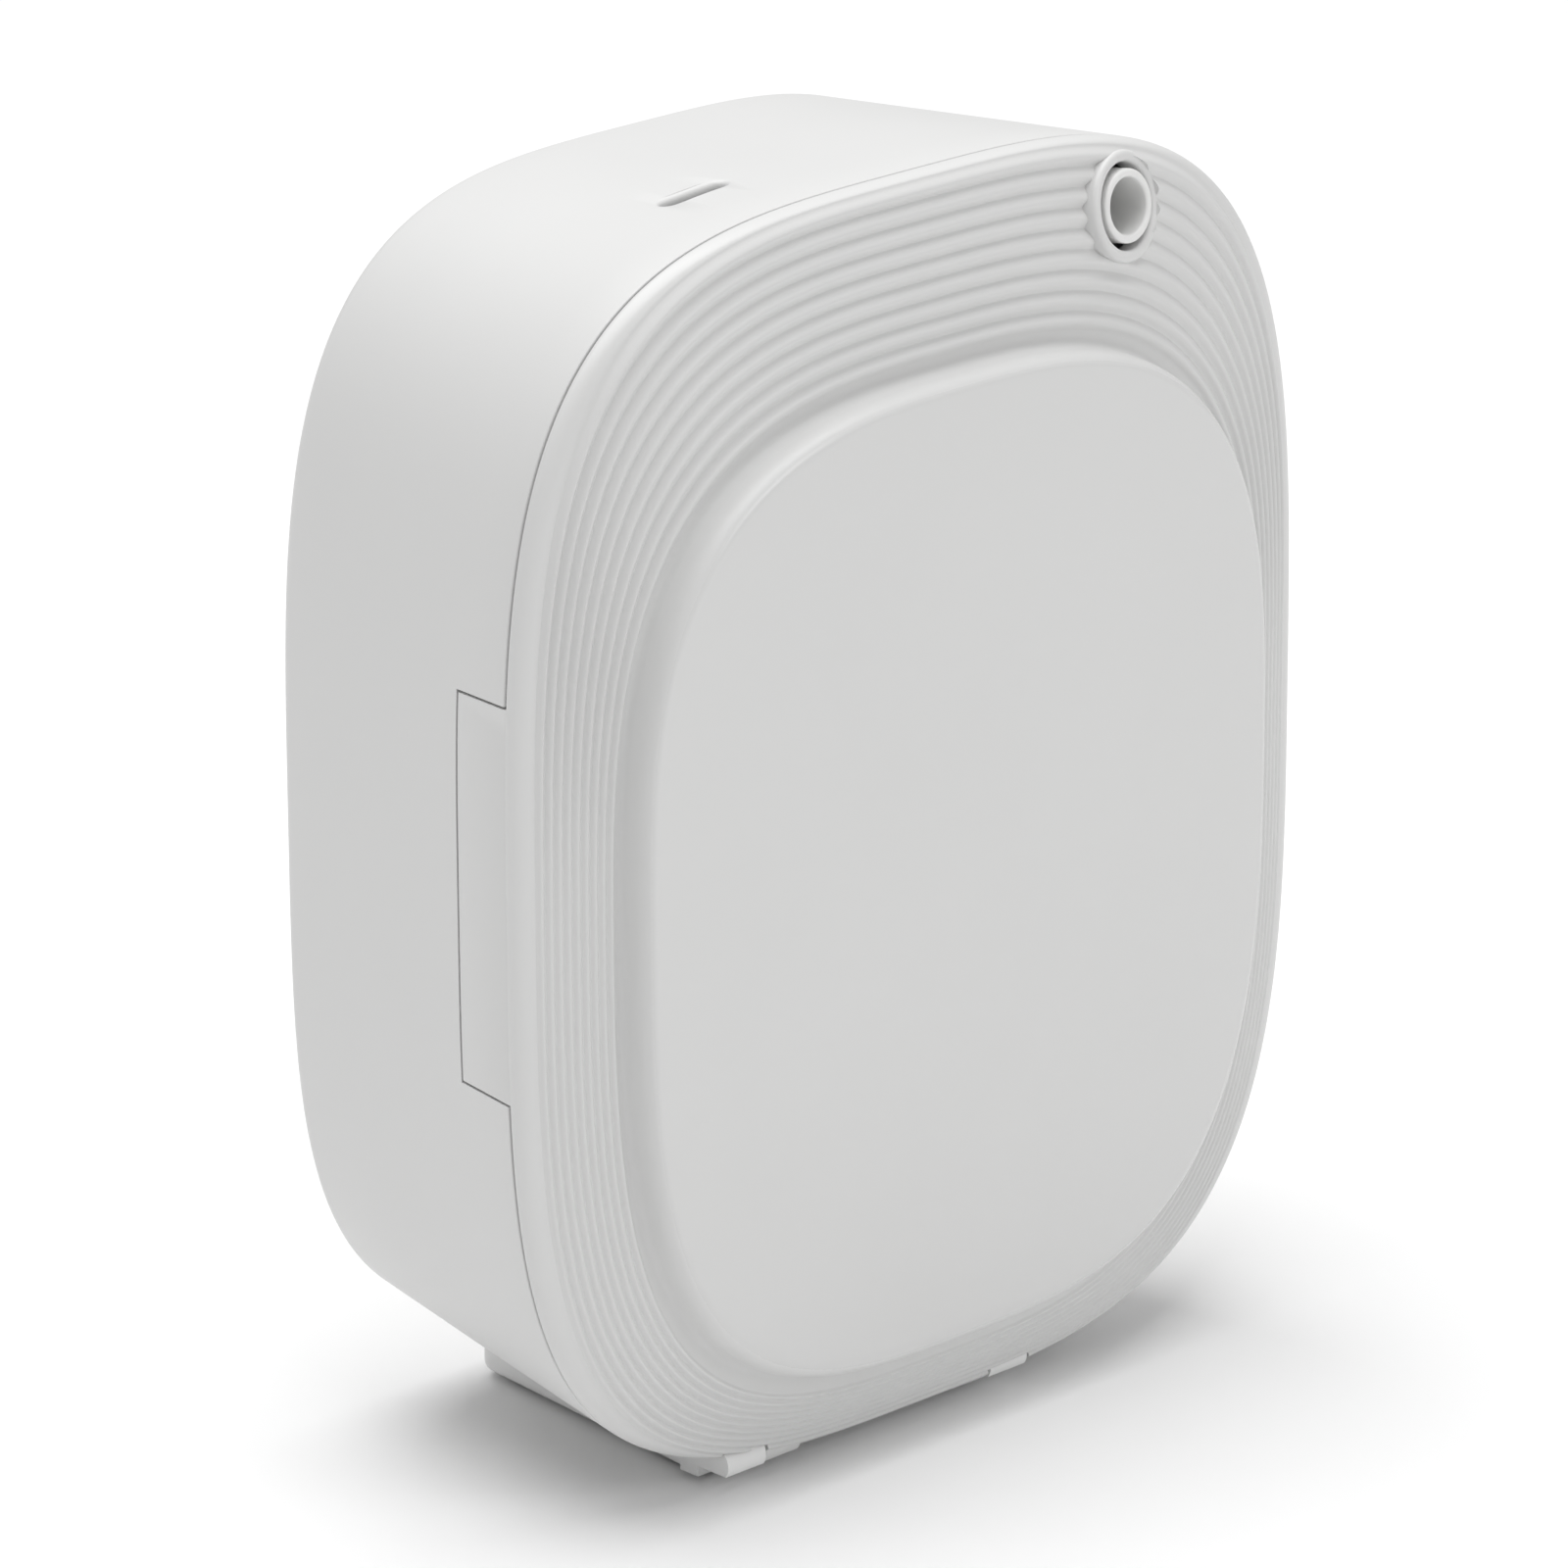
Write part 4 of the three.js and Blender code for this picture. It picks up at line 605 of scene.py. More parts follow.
# %% Cutters for the housing
TAB_TOP, TAB_BOTTOM, TAB_REACH, TAB_GAP = 34.6, -30.3, 13.4, 0.45
TAB_SIDES = ((-98, -68), (68, 98))
HINGE_Y, HINGE_Z = -1, -104.1
TAB_RISE = math.hypot(TAB_REACH - HINGE_Y, TAB_TOP - HINGE_Z) - (TAB_TOP - HINGE_Z)
KEY_X, KEY_Y, KEY_SLOT_LENGTH, KEY_SLOT_WIDTH = -28, 20, 13.5, 3
FOOT_BOTTOM = -107.7
ALONG_X, ALONG_Y, UP = (1, 0, 0), (0, 1, 0), (0, 0, 1)
SCREW_HOLE = 1.6
BARREL_RADIUS, BARREL_LENGTH, BARREL_STARTS = 3, 8.5, (-44.7, 15.5)
KNUCKLE_RADIUS, KNUCKLE_LENGTH = 2.6, 7.6
PIN_BORE, HINGE_ROOM = 1.3, 3.5


def hinge_bars(radius, starts, length, segments=32):
    """Bars on the hinge's axis, one from each start in x."""
    return [bar(radius, (x, HINGE_Y, HINGE_Z), ALONG_X, length, segments) for x in starts]


def slab(corners, x0, x1):
    """A flat slab from x0 to x1, with its outline given by corners in y and z."""
    shape = bmesh.new()
    verts = [shape.verts.new((x0, y, z)) for y, z in corners]
    face = bmesh.ops.contextual_create(shape, geom=verts)["faces"][0]
    grown = bmesh.ops.extrude_face_region(shape, geom=[face])["geom"]
    verts = [part for part in grown if isinstance(part, bmesh.types.BMVert)]
    bmesh.ops.translate(shape, vec=(x1 - x0, 0, 0), verts=verts)
    bmesh.ops.contextual_create(shape, geom=shape.verts[:len(corners)])
    bmesh.ops.recalc_face_normals(shape, faces=shape.faces)
    return shape


def tab_side(front, gap):
    return [(front, TAB_BOTTOM - gap), (TAB_REACH + gap, TAB_BOTTOM - gap),
            (TAB_REACH + gap, TAB_TOP + gap), (0, TAB_TOP + TAB_RISE + gap),
            (front, TAB_TOP + TAB_RISE + gap)]


def below_chin():
    """What would show under the cover's lowest edge; the hinge pieces end level with it."""
    return block((-60, -8, -112), (60, 3.2, -105.85))


def key_slot_cutter():
    reach = (KEY_SLOT_LENGTH - KEY_SLOT_WIDTH) / 2

    def ring(grow, lift):
        def place(angle):
            x = KEY_X + math.copysign(reach, math.cos(angle)) + (1.5 + grow) * math.cos(angle)
            y = KEY_Y + (1.5 + grow) * math.sin(angle)
            half, top, bottom, square, other = housing_outline(y)
            return Vector((x, y, top * (1 - abs(x / half) ** square) ** (1 / square) + lift))
        return place

    rolled = [(0, -14), (0, -1.3), (0.08, -0.75), (0.26, -0.38), (0.55, -0.12), (0.95, 0.02),
              (0.95, 3)]
    return skin([ring(grow, lift) for grow, lift in rolled], 48)


def keyhole_cutter(x, z=76):
    back = HOUSING_DEPTH - WALL - 1
    neck = block((x - 2.3, back, z), (x + 2.3, HOUSING_DEPTH + 1, z + 11))
    bevel_edges(neck, edges_along(neck, 1), 2.2, 6)
    return joined(bar(4.6, (x, back, z), ALONG_Y, WALL + 2, 48), neck)


print("a tab rises", round(TAB_RISE, 2), "mm as it leaves its notch")

# %% Housing
BOSSES = [(-73, 58), (71, 62), (-73, -32), (71, -44)]
DECK_FRONT, DECK_BACK = 9, 11
INNER_BACK = HOUSING_DEPTH - WALL
JACK_X, JACK_Z = -26, -84
FOOT_SCREWS = [(-24, 40), (24, 40)]

bosses = [bar(3.6, (x, DECK_BACK + 0.3, z), ALONG_Y, INNER_BACK - DECK_BACK + 0.9, 32)
          for x, z in BOSSES]
bosses = kept(joined(*bosses), housing_form(-WALL / 2, HOUSING_FRONT, 160))
notches = [slab(tab_side(-2, TAB_GAP), *side) for side in TAB_SIDES]
holes = [bar(SCREW_HOLE, (x, DECK_FRONT, z), ALONG_Y, 18, 24) for x, z in BOSSES]
holes += [bar(SCREW_HOLE, (x, y, FOOT_BOTTOM), UP, 17, 24) for x, y in FOOT_SCREWS]
holes += [keyhole_cutter(-50), keyhole_cutter(50)]
holes += [bar(4.3, (JACK_X, INNER_BACK - 1, JACK_Z), ALONG_Y, WALL + 2, 48)]
hinge_room = hinge_bars(HINGE_ROOM, (-45.2, 6.9), 17.6) + hinge_bars(2.27, (-45,), 90)
housing = cut(joined(housing_skin(), bosses), *notches, *holes, key_slot_cutter(), *hinge_room)
finished(housing, "housing_shell", "rear_housing", housing_white)

# %% [markdown]
# ## Front cover
# The cover is read from its rim inwards: a smooth rounded band, ten grooves with soft crests
# between them, a valley, and a rounded wall up to the flat panel. The outermost groove follows the
# rim and the innermost follows the panel, so the ones between are mixtures of the two. A crest is
# about a third as high as the local spacing, which keeps its shape where the ribs crowd together.

# %% Ribbed surface
RIM_DEPTH, VALLEY_DEPTH, PANEL_DEPTH = 3.2, 7.6, 14
GROOVES = 10
STEPS_PER_RIB = 10
CREST_SHARE = 0.36
HIGHEST_CREST = 0.95


def ribbed_depth(share):
    return -(RIM_DEPTH + (VALLEY_DEPTH - RIM_DEPTH) * (1.35 * share - 0.35 * share * share))


def crest(turn):
    """A soft wave with its grooves at whole turns, a little narrower than its crests."""
    wave = math.sin(math.pi * turn) ** 2
    return wave ** 0.85


def ribbed_ring(share):
    """A ring on the ribbed surface, from 0 at the rim to 1 at the foot of the panel."""
    pitch = 1 / (GROOVES - 1)
    outline = mixed(RIM, VALLEY, share)
    outer, inner = mixed(RIM, VALLEY, share - pitch / 2), mixed(RIM, VALLEY, share + pitch / 2)

    def ring(angle):
        x, z = on_outline(outline, angle)
        spacing = (Vector(on_outline(outer, angle)) - Vector(on_outline(inner, angle))).length
        height = min(CREST_SHARE * spacing, HIGHEST_CREST) * crest(share / pitch)
        return Vector((x, ribbed_depth(share) - height, z))
    return ring


def cover_skin():
    inside = PANEL_DEPTH - WALL
    rings = [at_depth(inset(PANEL, 3.6), -inside), at_depth(inset(PANEL, 2.4), -inside + 1.2),
             at_depth(inset(VALLEY, 1.2), -VALLEY_DEPTH + WALL + 0.2),
             at_depth(inset(SEAM, WALL), -RIM_DEPTH + WALL), at_depth(inset(SEAM, WALL), 0)]
    for i in range(4):
        angle = math.radians(30 * i)
        rings.append(at_depth(inset(SEAM, LIP_ROUND * (1 - math.sin(angle))),
                              -LIP_ROUND * (1 - math.cos(angle))))
    for i in range(1, 12):
        angle = math.radians(90 / 12 * i)
        depth = LIP_ROUND + (RIM_DEPTH - LIP_ROUND) * math.sin(angle)
        rings.append(at_depth(mixed(SEAM, RIM, 1 - math.cos(angle)), -depth))
    steps = (GROOVES - 1) * STEPS_PER_RIB
    rings += [ribbed_ring(step / steps) for step in range(steps + 1)]
    valley_floor = ((0.12, -0.01), (0.24, -0.01), (0.33, 0.02), (0.40, 0.09), (0.45, 0.18))
    for share, rise in valley_floor:
        depth = VALLEY_DEPTH + (PANEL_DEPTH - VALLEY_DEPTH) * rise
        rings.append(at_depth(mixed(VALLEY, PANEL, share), -depth))
    for i in range(1, 15):
        angle = math.radians(90 / 14 * i)
        rise, pull = math.sin(angle) ** 0.75, 1 - math.cos(angle) ** 0.75
        depth = VALLEY_DEPTH + (PANEL_DEPTH - VALLEY_DEPTH) * (0.22 + 0.78 * rise)
        rings.append(at_depth(mixed(VALLEY, PANEL, 0.46 + 0.54 * pull), -depth))
    rings.append(at_depth(inset(PANEL, 1), -PANEL_DEPTH))
    return skin(rings, ROUND_SEGMENTS)


# %% [markdown]
# ## Port, tabs and catch of the cover
# The port is a round hole with a raised bead. Its axis leans a little outwards, so the bead is
# turned about that leaning axis and joined, after the hole has been cut. The tabs are a piece of
# the housing's own skin, cut out by their side view, which keeps them flush.

# %% Front cover
PORT_X, PORT_Z = 43.5, 91.3
port_axis = Vector((0.2, -1, 0.19)).normalized()
port_centre = Vector((PORT_X, ribbed_depth(0.27) - 0.3, PORT_Z))


def tab_skin():
    far = TAB_REACH + 2
    outer = [at_depth(inset(SEAM, 0.7), -1.2), at_depth(inset(SEAM, 0.05), 0),
             at_depth(inset(housing_outline(far), 0.05), far)]
    inner = [at_depth(inset(SEAM, 2.0), -2), at_depth(inset(SEAM, 2.35), 0),
             at_depth(inset(housing_outline(far), 2.35), far + 1)]
    return cut(skin(outer, ROUND_SEGMENTS), skin(inner, ROUND_SEGMENTS))


tabs = [kept(tab_skin(), slab(tab_side(-1.1, 0), *side)) for side in TAB_SIDES]
bead = turned_ring([(7.2, -3), (9.2, -3), (9.2, 1.2), (7.2, 1.2)], port_centre, port_axis, 0.85, 64)
port_hole = bar(8.3, port_centre - 8 * port_axis, port_axis, 16, 64)
STRIKER_Z = 93.5
arm = block((-33, -3.4, STRIKER_Z), (-23, 17.8, STRIKER_Z + 2))
tooth = block((-33, 15.3, STRIKER_Z - 2.5), (-23, 17.8, STRIKER_Z + 0.1))
barrel_room = hinge_bars(HINGE_ROOM, (-45.2, 15), BARREL_LENGTH + 1)
knuckles = hinge_bars(KNUCKLE_RADIUS, (-35.7, 7.4), KNUCKLE_LENGTH)
pin_bores = hinge_bars(PIN_BORE, (-36.7, 8.6), 7.4, 24)
cover = joined(cut(cover_skin(), port_hole), bead, *tabs, arm, tooth)
cover = cut(joined(cut(cover, *barrel_room), *knuckles), *pin_bores, below_chin())
finished(cover, "ribbed_cover", "front_cover", cover_white, "cover")

# %% [markdown]
# ## Outlet tube
# A hose-like tube of white plastic rises from the atomiser and sweeps forward into the port. It is
# one skin along a smooth curve: outwards over the rounded mouth, back along the outside, and
# forward again through the bore. Each ring lies square to the curve.

# %% Outlet tube
TUBE_OUTER, TUBE_BORE = 6.1, 4.7
HEAD_TOP = 68.8
tube_axis = Vector((0.12, -1, 0.15)).normalized()
tube_end = port_centre + 1.5 * port_axis
tube_start = Vector((36, 34, HEAD_TOP + 0.3))
tube_straight = tube_end - 16 * tube_axis


def tube_path(share):
    """A point on the centreline and the direction there, from 0 at the atomiser to 1 at the mouth."""
    bend = 0.72
    if share > bend:
        along = (share - bend) / (1 - bend)
        return tube_straight.lerp(tube_end, along), tube_axis
    t = share / bend
    points = [tube_start, tube_start + Vector((0, 0, 10.7)), tube_straight - 12 * tube_axis,
              tube_straight]
    weights = [(1 - t) ** 3, 3 * t * (1 - t) ** 2, 3 * t * t * (1 - t), t ** 3]
    slopes = [-3 * (1 - t) ** 2, 3 * (1 - t) * (1 - 3 * t), 3 * t * (2 - 3 * t), 3 * t * t]
    place = sum((w * p for w, p in zip(weights, points)), Vector())
    return place, sum((w * p for w, p in zip(slopes, points)), Vector()).normalized()


def tube_ring(share, radius, ahead=0.0):
    centre, along = tube_path(share)
    across = Vector((1, 0, 0)) - along * along.x
    across.normalize()
    upward = along.cross(across)
    return lambda angle: centre + ahead * along + radius * (
        math.cos(angle) * across + math.sin(angle) * upward)


def tube_skin():
    mouth = 0.5
    middle = (TUBE_OUTER + TUBE_BORE) / 2
    outside = [tube_ring(i / 36, TUBE_OUTER) for i in range(36)]
    lip = []
    for i in range(9):
        angle = math.radians(22.5 * i)
        half = (TUBE_OUTER - TUBE_BORE) / 2
        lip.append(tube_ring(1, middle + half * math.cos(angle), mouth * (math.sin(angle) - 1)))
    bore = [tube_ring(i / 36, TUBE_BORE) for i in range(35, -1, -1)]
    shape = skin([*outside, *lip, *bore], 64)
    caps = [face for face in shape.faces if len(face.verts) > 4]
    loops = [edge for face in caps for edge in face.edges]
    bmesh.ops.delete(shape, geom=caps, context="FACES_ONLY")
    bmesh.ops.bridge_loops(shape, edges=loops)
    bmesh.ops.recalc_face_normals(shape, faces=shape.faces)
    return shape


finished(tube_skin(), "scent_outlet_tube", "outlet_tube", tube_white)

# %% [markdown]
# ## Foot and pads
# The foot is a low block, narrower at the back, whose lower edges are generously rounded. Its top is
# cut by the housing's own form, so it sits against the curved underside. Two barrels at the front
# carry the cover's hinge pins, and end level with the cover's lowest edge. Rubber pads lift the foot
# a millimetre off the table.

# %% Foot
FOOT_FRONT_HALF, FOOT_BACK_HALF, FOOT_FRONT, FOOT_BACK = 45, 40, 3.4, 62
FRONT_RIGHT_ROUND, CORNER_ROUND = 10, 3
PAD_PLACES = [(-36, 12), (36, 12), (-32, 52), (32, 52)]
PAD_RADIUS = 6


def foot_plate():
    shape = block((-FOOT_FRONT_HALF, FOOT_FRONT, FOOT_BOTTOM), (FOOT_FRONT_HALF, FOOT_BACK, -94))
    for vertex in shape.verts:
        if vertex.co.y > FOOT_FRONT + 1:
            vertex.co.x *= FOOT_BACK_HALF / FOOT_FRONT_HALF
    front_right = max(edges_along(shape, 2), key=lambda edge: edge.verts[0].co.x - edge.verts[0].co.y)
    bevel_edges(shape, [front_right], FRONT_RIGHT_ROUND, 8)
    others = [edge for edge in edges_along(shape, 2)
              if edge.verts[0].co.x < 30 or edge.verts[0].co.y > 30]
    bevel_edges(shape, others, CORNER_ROUND, 8)
    lower = [edge for edge in shape.edges
             if all(vertex.co.z < FOOT_BOTTOM + 0.1 for vertex in edge.verts)]
    bevel_edges(shape, lower, 1.8, 5)
    return shape


foot = foot_plate()
noses = [block((x, HINGE_Y, FOOT_BOTTOM), (x + BARREL_LENGTH, FOOT_FRONT + 4, HINGE_Z))
         for x in BARREL_STARTS]
foot = cut(joined(foot, *noses), housing_form(0.3, -5.4, 160))
foot = joined(foot, *hinge_bars(BARREL_RADIUS, BARREL_STARTS, BARREL_LENGTH, 40))
foot = cut(foot, below_chin())
below = FOOT_BOTTOM - 1
pockets = [bar(PAD_RADIUS + 0.3, (x, y, below), UP, 2, 48) for x, y in PAD_PLACES]
pockets += hinge_bars(PIN_BORE, (-43.5, 14.5), 8.3, 24)
for x, y in FOOT_SCREWS:
    pockets += [bar(SCREW_HOLE, (x, y, below), UP, 16, 24), bar(3.1, (x, y, below), UP, 3.2, 32)]
finished(cut(foot, *pockets), "foot_plate", "foot_block", foot_white_painted_light)

# %% Rubber pads
for number, (x, y) in enumerate(PAD_PLACES, 1):
    profile = [(0, 0), (PAD_RADIUS, 0), (PAD_RADIUS, 1.7), (0, 1.7)]
    pad = turned(profile, (x, y, below), UP, 0.5, 48)
    finished(pad, f"rubber_pad_{number}", f"foot_pad_{number}", pad_rubber)

# %% [markdown]
# ## Inner deck
# Behind the cover lies a white panel that closes the housing. It has a bay for the bottle with a
# divider and a shelf, a window for the display, round holes for four keys and a square one for the
# power switch. Its outer edge and its openings get a small bevel, which is what makes a moulding
# look moulded when the cover is open.

# %% Inner deck
BAY_LEFT, BAY_RIGHT, BAY_TOP, SHELF_Z, SHELF_BACK = 9.4, 65, 50, -84, 58
DIVIDER, DIVIDER_TOP = 1.6, 37.3
DISPLAY_X, DISPLAY_Z, DISPLAY_WIDTH, DISPLAY_HEIGHT = -38, 58, 42, 20
KEYS_Z, KEY_CAP, KEY_XS = 36, 4, (-57.5, -44.5, -31.5, -18.5)
SWITCH_X, SWITCH_Z, SWITCH_WIDTH, SWITCH_HEIGHT = -57, 10, 12, 18
BOARD_SCREWS = [(-65, 69), (-65, 31), (-12, 69), (-12, 31)]


def window(x0, x1, z0, z1, corner, front=DECK_FRONT - 1, behind=DECK_BACK + 1, flare=0.0):
    """A rounded rectangular prism along y, which may open out towards the front."""
    shape = block((x0, front, z0), (x1, behind, z1))
    bevel_edges(shape, edges_along(shape, 1, 0.1), corner, 6)
    if flare:
        face_front = [vertex for vertex in shape.verts if vertex.co.y < front + 0.01]
        bmesh.ops.scale(shape, vec=(1 + 2 * flare / (x1 - x0), 1, 1 + 2 * flare / (z1 - z0)),
                        space=Matrix.Translation((-(x0 + x1) / 2, 0, -(z0 + z1) / 2)),
                        verts=face_front)
    return shape


def around(x, z, half_width, half_height):
    """The left, right, lower and upper side of a rectangle about a middle."""
    return (x - half_width, x + half_width, z - half_height, z + half_height)


def chamfer_cutter(x0, x1, z0, z1, corner):
    """A shallow flared prism that breaks the front edge of an opening."""
    return window(x0, x1, z0, z1, corner, DECK_FRONT - 0.4, DECK_FRONT + 0.5, 0.8)


def round_opening(x, z, radius):
    through = bar(radius, (x, DECK_FRONT - 1, z), ALONG_Y, 4, 48)
    broken = turned([(0, 0), (radius + 0.9, 0), (radius, 0.9), (0, 0.9)],
                    (x, DECK_FRONT - 0.45, z), ALONG_Y, 0, 48)
    return joined(through, broken)


def deck_base():
    outline = inset(housing_outline(DECK_BACK), WALL + 0.6)
    rings = [at_depth(inset(outline, pull), y) for pull, y in (
        (4, DECK_BACK), (0.3, DECK_BACK), (0, DECK_BACK - 0.3), (0, DECK_FRONT + 0.5),
        (0.15, DECK_FRONT + 0.15), (0.5, DECK_FRONT), (4, DECK_FRONT))]
    return skin(rings, 240)


divider = block((BAY_LEFT - DIVIDER, DECK_FRONT, SHELF_Z), (BAY_LEFT, SHELF_BACK, DIVIDER_TOP))
shelf = block((BAY_LEFT - DIVIDER, DECK_FRONT, SHELF_Z - DIVIDER), (54, SHELF_BACK, SHELF_Z))
standoffs = [bar(2.6, (x, DECK_BACK - 0.5, z), ALONG_Y, 2.2, 24) for x, z in BOARD_SCREWS]
openings = [window(BAY_LEFT, BAY_RIGHT, SHELF_Z, BAY_TOP, 5),
            chamfer_cutter(BAY_LEFT, BAY_RIGHT, SHELF_Z, BAY_TOP, 5)]
display_sides = around(DISPLAY_X, DISPLAY_Z, DISPLAY_WIDTH / 2, DISPLAY_HEIGHT / 2)
openings += [window(*display_sides, 2), chamfer_cutter(*display_sides, 2)]
openings += [round_opening(x, KEYS_Z, KEY_CAP + 0.3) for x in KEY_XS]
switch_sides = around(SWITCH_X, SWITCH_Z, SWITCH_WIDTH / 2 + 0.3, SWITCH_HEIGHT / 2 + 0.3)
openings += [window(*switch_sides, 0.5)]
tube_pass = tube_end - (DECK_FRONT - tube_end.y) * 1.02 * tube_axis
openings += [round_opening(tube_pass.x, tube_pass.z, TUBE_OUTER + 2)]
openings += [window(-34.5, -21.5, STRIKER_Z - 5, STRIKER_Z + 3.6, 0.5)]
openings += [bar(SCREW_HOLE, (x, DECK_FRONT - 1, z), ALONG_Y, 4, 24) for x, z in BOSSES]
openings += [bar(SCREW_HOLE, (x, DECK_FRONT + 0.8, z), ALONG_Y, 5, 24) for x, z in BOARD_SCREWS]
deck = cut(joined(deck_base(), divider, shelf, *standoffs), *openings)
finished(deck, "inner_panel", "inner_deck", deck_white, sharp=math.radians(25))

# %% [markdown]
# ## Keys, display and switch
# The keys are shallow domed caps with a collar that keeps them behind the deck. The display is a
# black lens with a polished edge. The switch is a rocker with a dished top in a black frame: its
# side view is drawn as a slab, bevelled, and tilted to its off position.

# %% Keys and display lens
KEY_NAMES = ("first_key", "second_key", "third_key", "fourth_key")
for number, (x, body) in enumerate(zip(KEY_XS, KEY_NAMES), 1):
    top = DECK_FRONT - 1.6
    profile = [(0, 0), (2.0, 0.08), (3.3, 0.3), (KEY_CAP, 0.95), (KEY_CAP, 3.9), (KEY_CAP + 1, 3.9),
               (KEY_CAP + 1, 4.7), (0, 4.7)]
    cap = turned(profile, (x, top, KEYS_Z), ALONG_Y, 0.22, 48)
    finished(cap, f"key_cap_{number}", f"key_{number}", grey_plastic, body)

lens = window(*around(DISPLAY_X, DISPLAY_Z, 20.7, 9.7), 1.8, DECK_FRONT + 0.1, DECK_BACK - 0.5)
rim = [edge for edge in lens.edges if all(v.co.y < DECK_FRONT + 0.2 for v in edge.verts)]
bevel_edges(lens, rim, 0.25, 3)
finished(lens, "display_window", "display_lens", lens_black)

# %% Power switch
TILT = math.radians(8)
frame_shape = window(*around(SWITCH_X, SWITCH_Z, 7.5, 10.5), 1.4, DECK_FRONT - 1.3, DECK_FRONT - 0.3)
rim = [edge for edge in frame_shape.edges if all(v.co.y < DECK_FRONT - 1.2 for v in edge.verts)]
bevel_edges(frame_shape, rim, 0.35, 3)


def switch_block(middle, half_width, half_height, front, behind):
    """A box about a middle height in the switch, from one depth to another behind the deck's front."""
    return block((SWITCH_X - half_width, DECK_FRONT + front, middle - half_height),
                 (SWITCH_X + half_width, DECK_FRONT + behind, middle + half_height))


shell = switch_block(SWITCH_Z, SWITCH_WIDTH / 2, SWITCH_HEIGHT / 2, -1, 14)
blades = [switch_block(z, 2.4, 0.4, 13, 19) for z in (SWITCH_Z - 5, SWITCH_Z + 5)]
well = switch_block(SWITCH_Z, 4.8, 7.8, -4, 7)
finished(cut(joined(frame_shape, shell, *blades), well), "switch_frame", "switch_body", black_plastic)

half = SWITCH_HEIGHT / 2 - 2
dish = [(-2.2 + 1.4 * (1 - (z / half) ** 2), z) for z in [half * (i / 6 - 1) for i in range(13)]]
rocker = slab([*dish, (1.6, half - 0.6), (4, 1.8), (4, -1.8), (1.6, -half + 0.6)], -4.5, 4.5)
side_edges = [edge for edge in rocker.edges if abs(edge.verts[0].co.x - edge.verts[1].co.x) < 0.1]
bevel_edges(rocker, side_edges, 0.3, 3)
bmesh.ops.rotate(rocker, cent=(0, 0, 0), matrix=Matrix.Rotation(TILT, 3, "X"), verts=rocker.verts)
bmesh.ops.translate(rocker, vec=(SWITCH_X, DECK_FRONT + 1.4, SWITCH_Z), verts=rocker.verts)
finished(rocker, "power_rocker_cap", "power_rocker", black_plastic, "rocker")

# %% [markdown]
# ## Bottle, collar and atomiser
# These share one upright axis. Each is a turned piece: the blown bottle has soft shoulders and a
# thin wall, the collar is knurled so that it can be gripped, and the atomiser head carries the
# barb for the air hose. Knurling is a ring of thin bars cut into the collar.

# %% Bottle
BOTTLE_X, BOTTLE_Y, BOTTLE_RADIUS, BOTTLE_BASE = 36, 34, 25.6, -82.5
NECK_RADIUS, SHOULDER_Z, NECK_TOP, BOTTLE_WALL = 14, 9.5, 30.5, 1.6
on_bottle_axis = (BOTTLE_X, BOTTLE_Y, 0)
inner = BOTTLE_RADIUS - BOTTLE_WALL
bottle = turned([
    (0, BOTTLE_BASE + 1), (20.6, BOTTLE_BASE), (24.6, BOTTLE_BASE + 0.8),
    (BOTTLE_RADIUS, BOTTLE_BASE + 4), (BOTTLE_RADIUS, SHOULDER_Z - 6), (22.6, SHOULDER_Z),
    (15, SHOULDER_Z + 6), (NECK_RADIUS, SHOULDER_Z + 8),
    (NECK_RADIUS, NECK_TOP), (NECK_RADIUS - BOTTLE_WALL, NECK_TOP),
    (NECK_RADIUS - BOTTLE_WALL, SHOULDER_Z + 6), (21, SHOULDER_Z - 1.5), (inner, SHOULDER_Z - 6.5),
    (inner, BOTTLE_BASE + 5), (20.6, BOTTLE_BASE + 2.1), (0, BOTTLE_BASE + 2.6)],
    on_bottle_axis, UP, 0.7, 96)
finished(bottle, "fragrance_bottle", "oil_bottle", bottle_milky)

# %% Collar and atomiser head
COLLAR_BASE, COLLAR_TOP, HEAD_BASE, BARB_Z = 20.5, 42.5, 42.8, 47.8
HEAD_RADIUS = 18
FLUTES = 36
collar = turned_ring([
    (14.3, COLLAR_BASE), (HEAD_RADIUS, COLLAR_BASE), (HEAD_RADIUS, COLLAR_TOP), (7, COLLAR_TOP),
    (7, COLLAR_TOP - 3), (14.3, COLLAR_TOP - 3)], on_bottle_axis, UP, 0.5, 96)
flutes = []
for i in range(FLUTES):
    angle, out = math.radians(360 / FLUTES * i), HEAD_RADIUS + 0.5
    place = (BOTTLE_X + out * math.cos(angle), BOTTLE_Y + out * math.sin(angle), COLLAR_BASE + 3)
    flutes.append(bar(0.9, place, UP, COLLAR_TOP - COLLAR_BASE - 6, 12))
finished(cut(collar, *flutes), "knurled_collar", "bottle_collar", deck_white)

head = turned([
    (0, HEAD_BASE), (HEAD_RADIUS, HEAD_BASE), (HEAD_RADIUS, HEAD_BASE + 10), (16, HEAD_BASE + 11),
    (13, HEAD_BASE + 11), (13, HEAD_TOP),
    (4.7, HEAD_TOP), (9.7, HEAD_TOP - 3), (9.7, HEAD_BASE + 11), (3, HEAD_BASE + 6),
    (0, HEAD_BASE + 6)], on_bottle_axis, UP, 0.5, 96)
barb = turned([(0, 0), (1.6, 0), (2, 1.2), (1.6, 2.6), (2, 3.8), (2, 8), (0, 8)],
              (BOTTLE_X - HEAD_RADIUS - 6, BOTTLE_Y, BARB_Z), ALONG_X, 0.1, 32)
spigot = bar(3, (BOTTLE_X, BOTTLE_Y, HEAD_BASE - 5), UP, 6, 32)
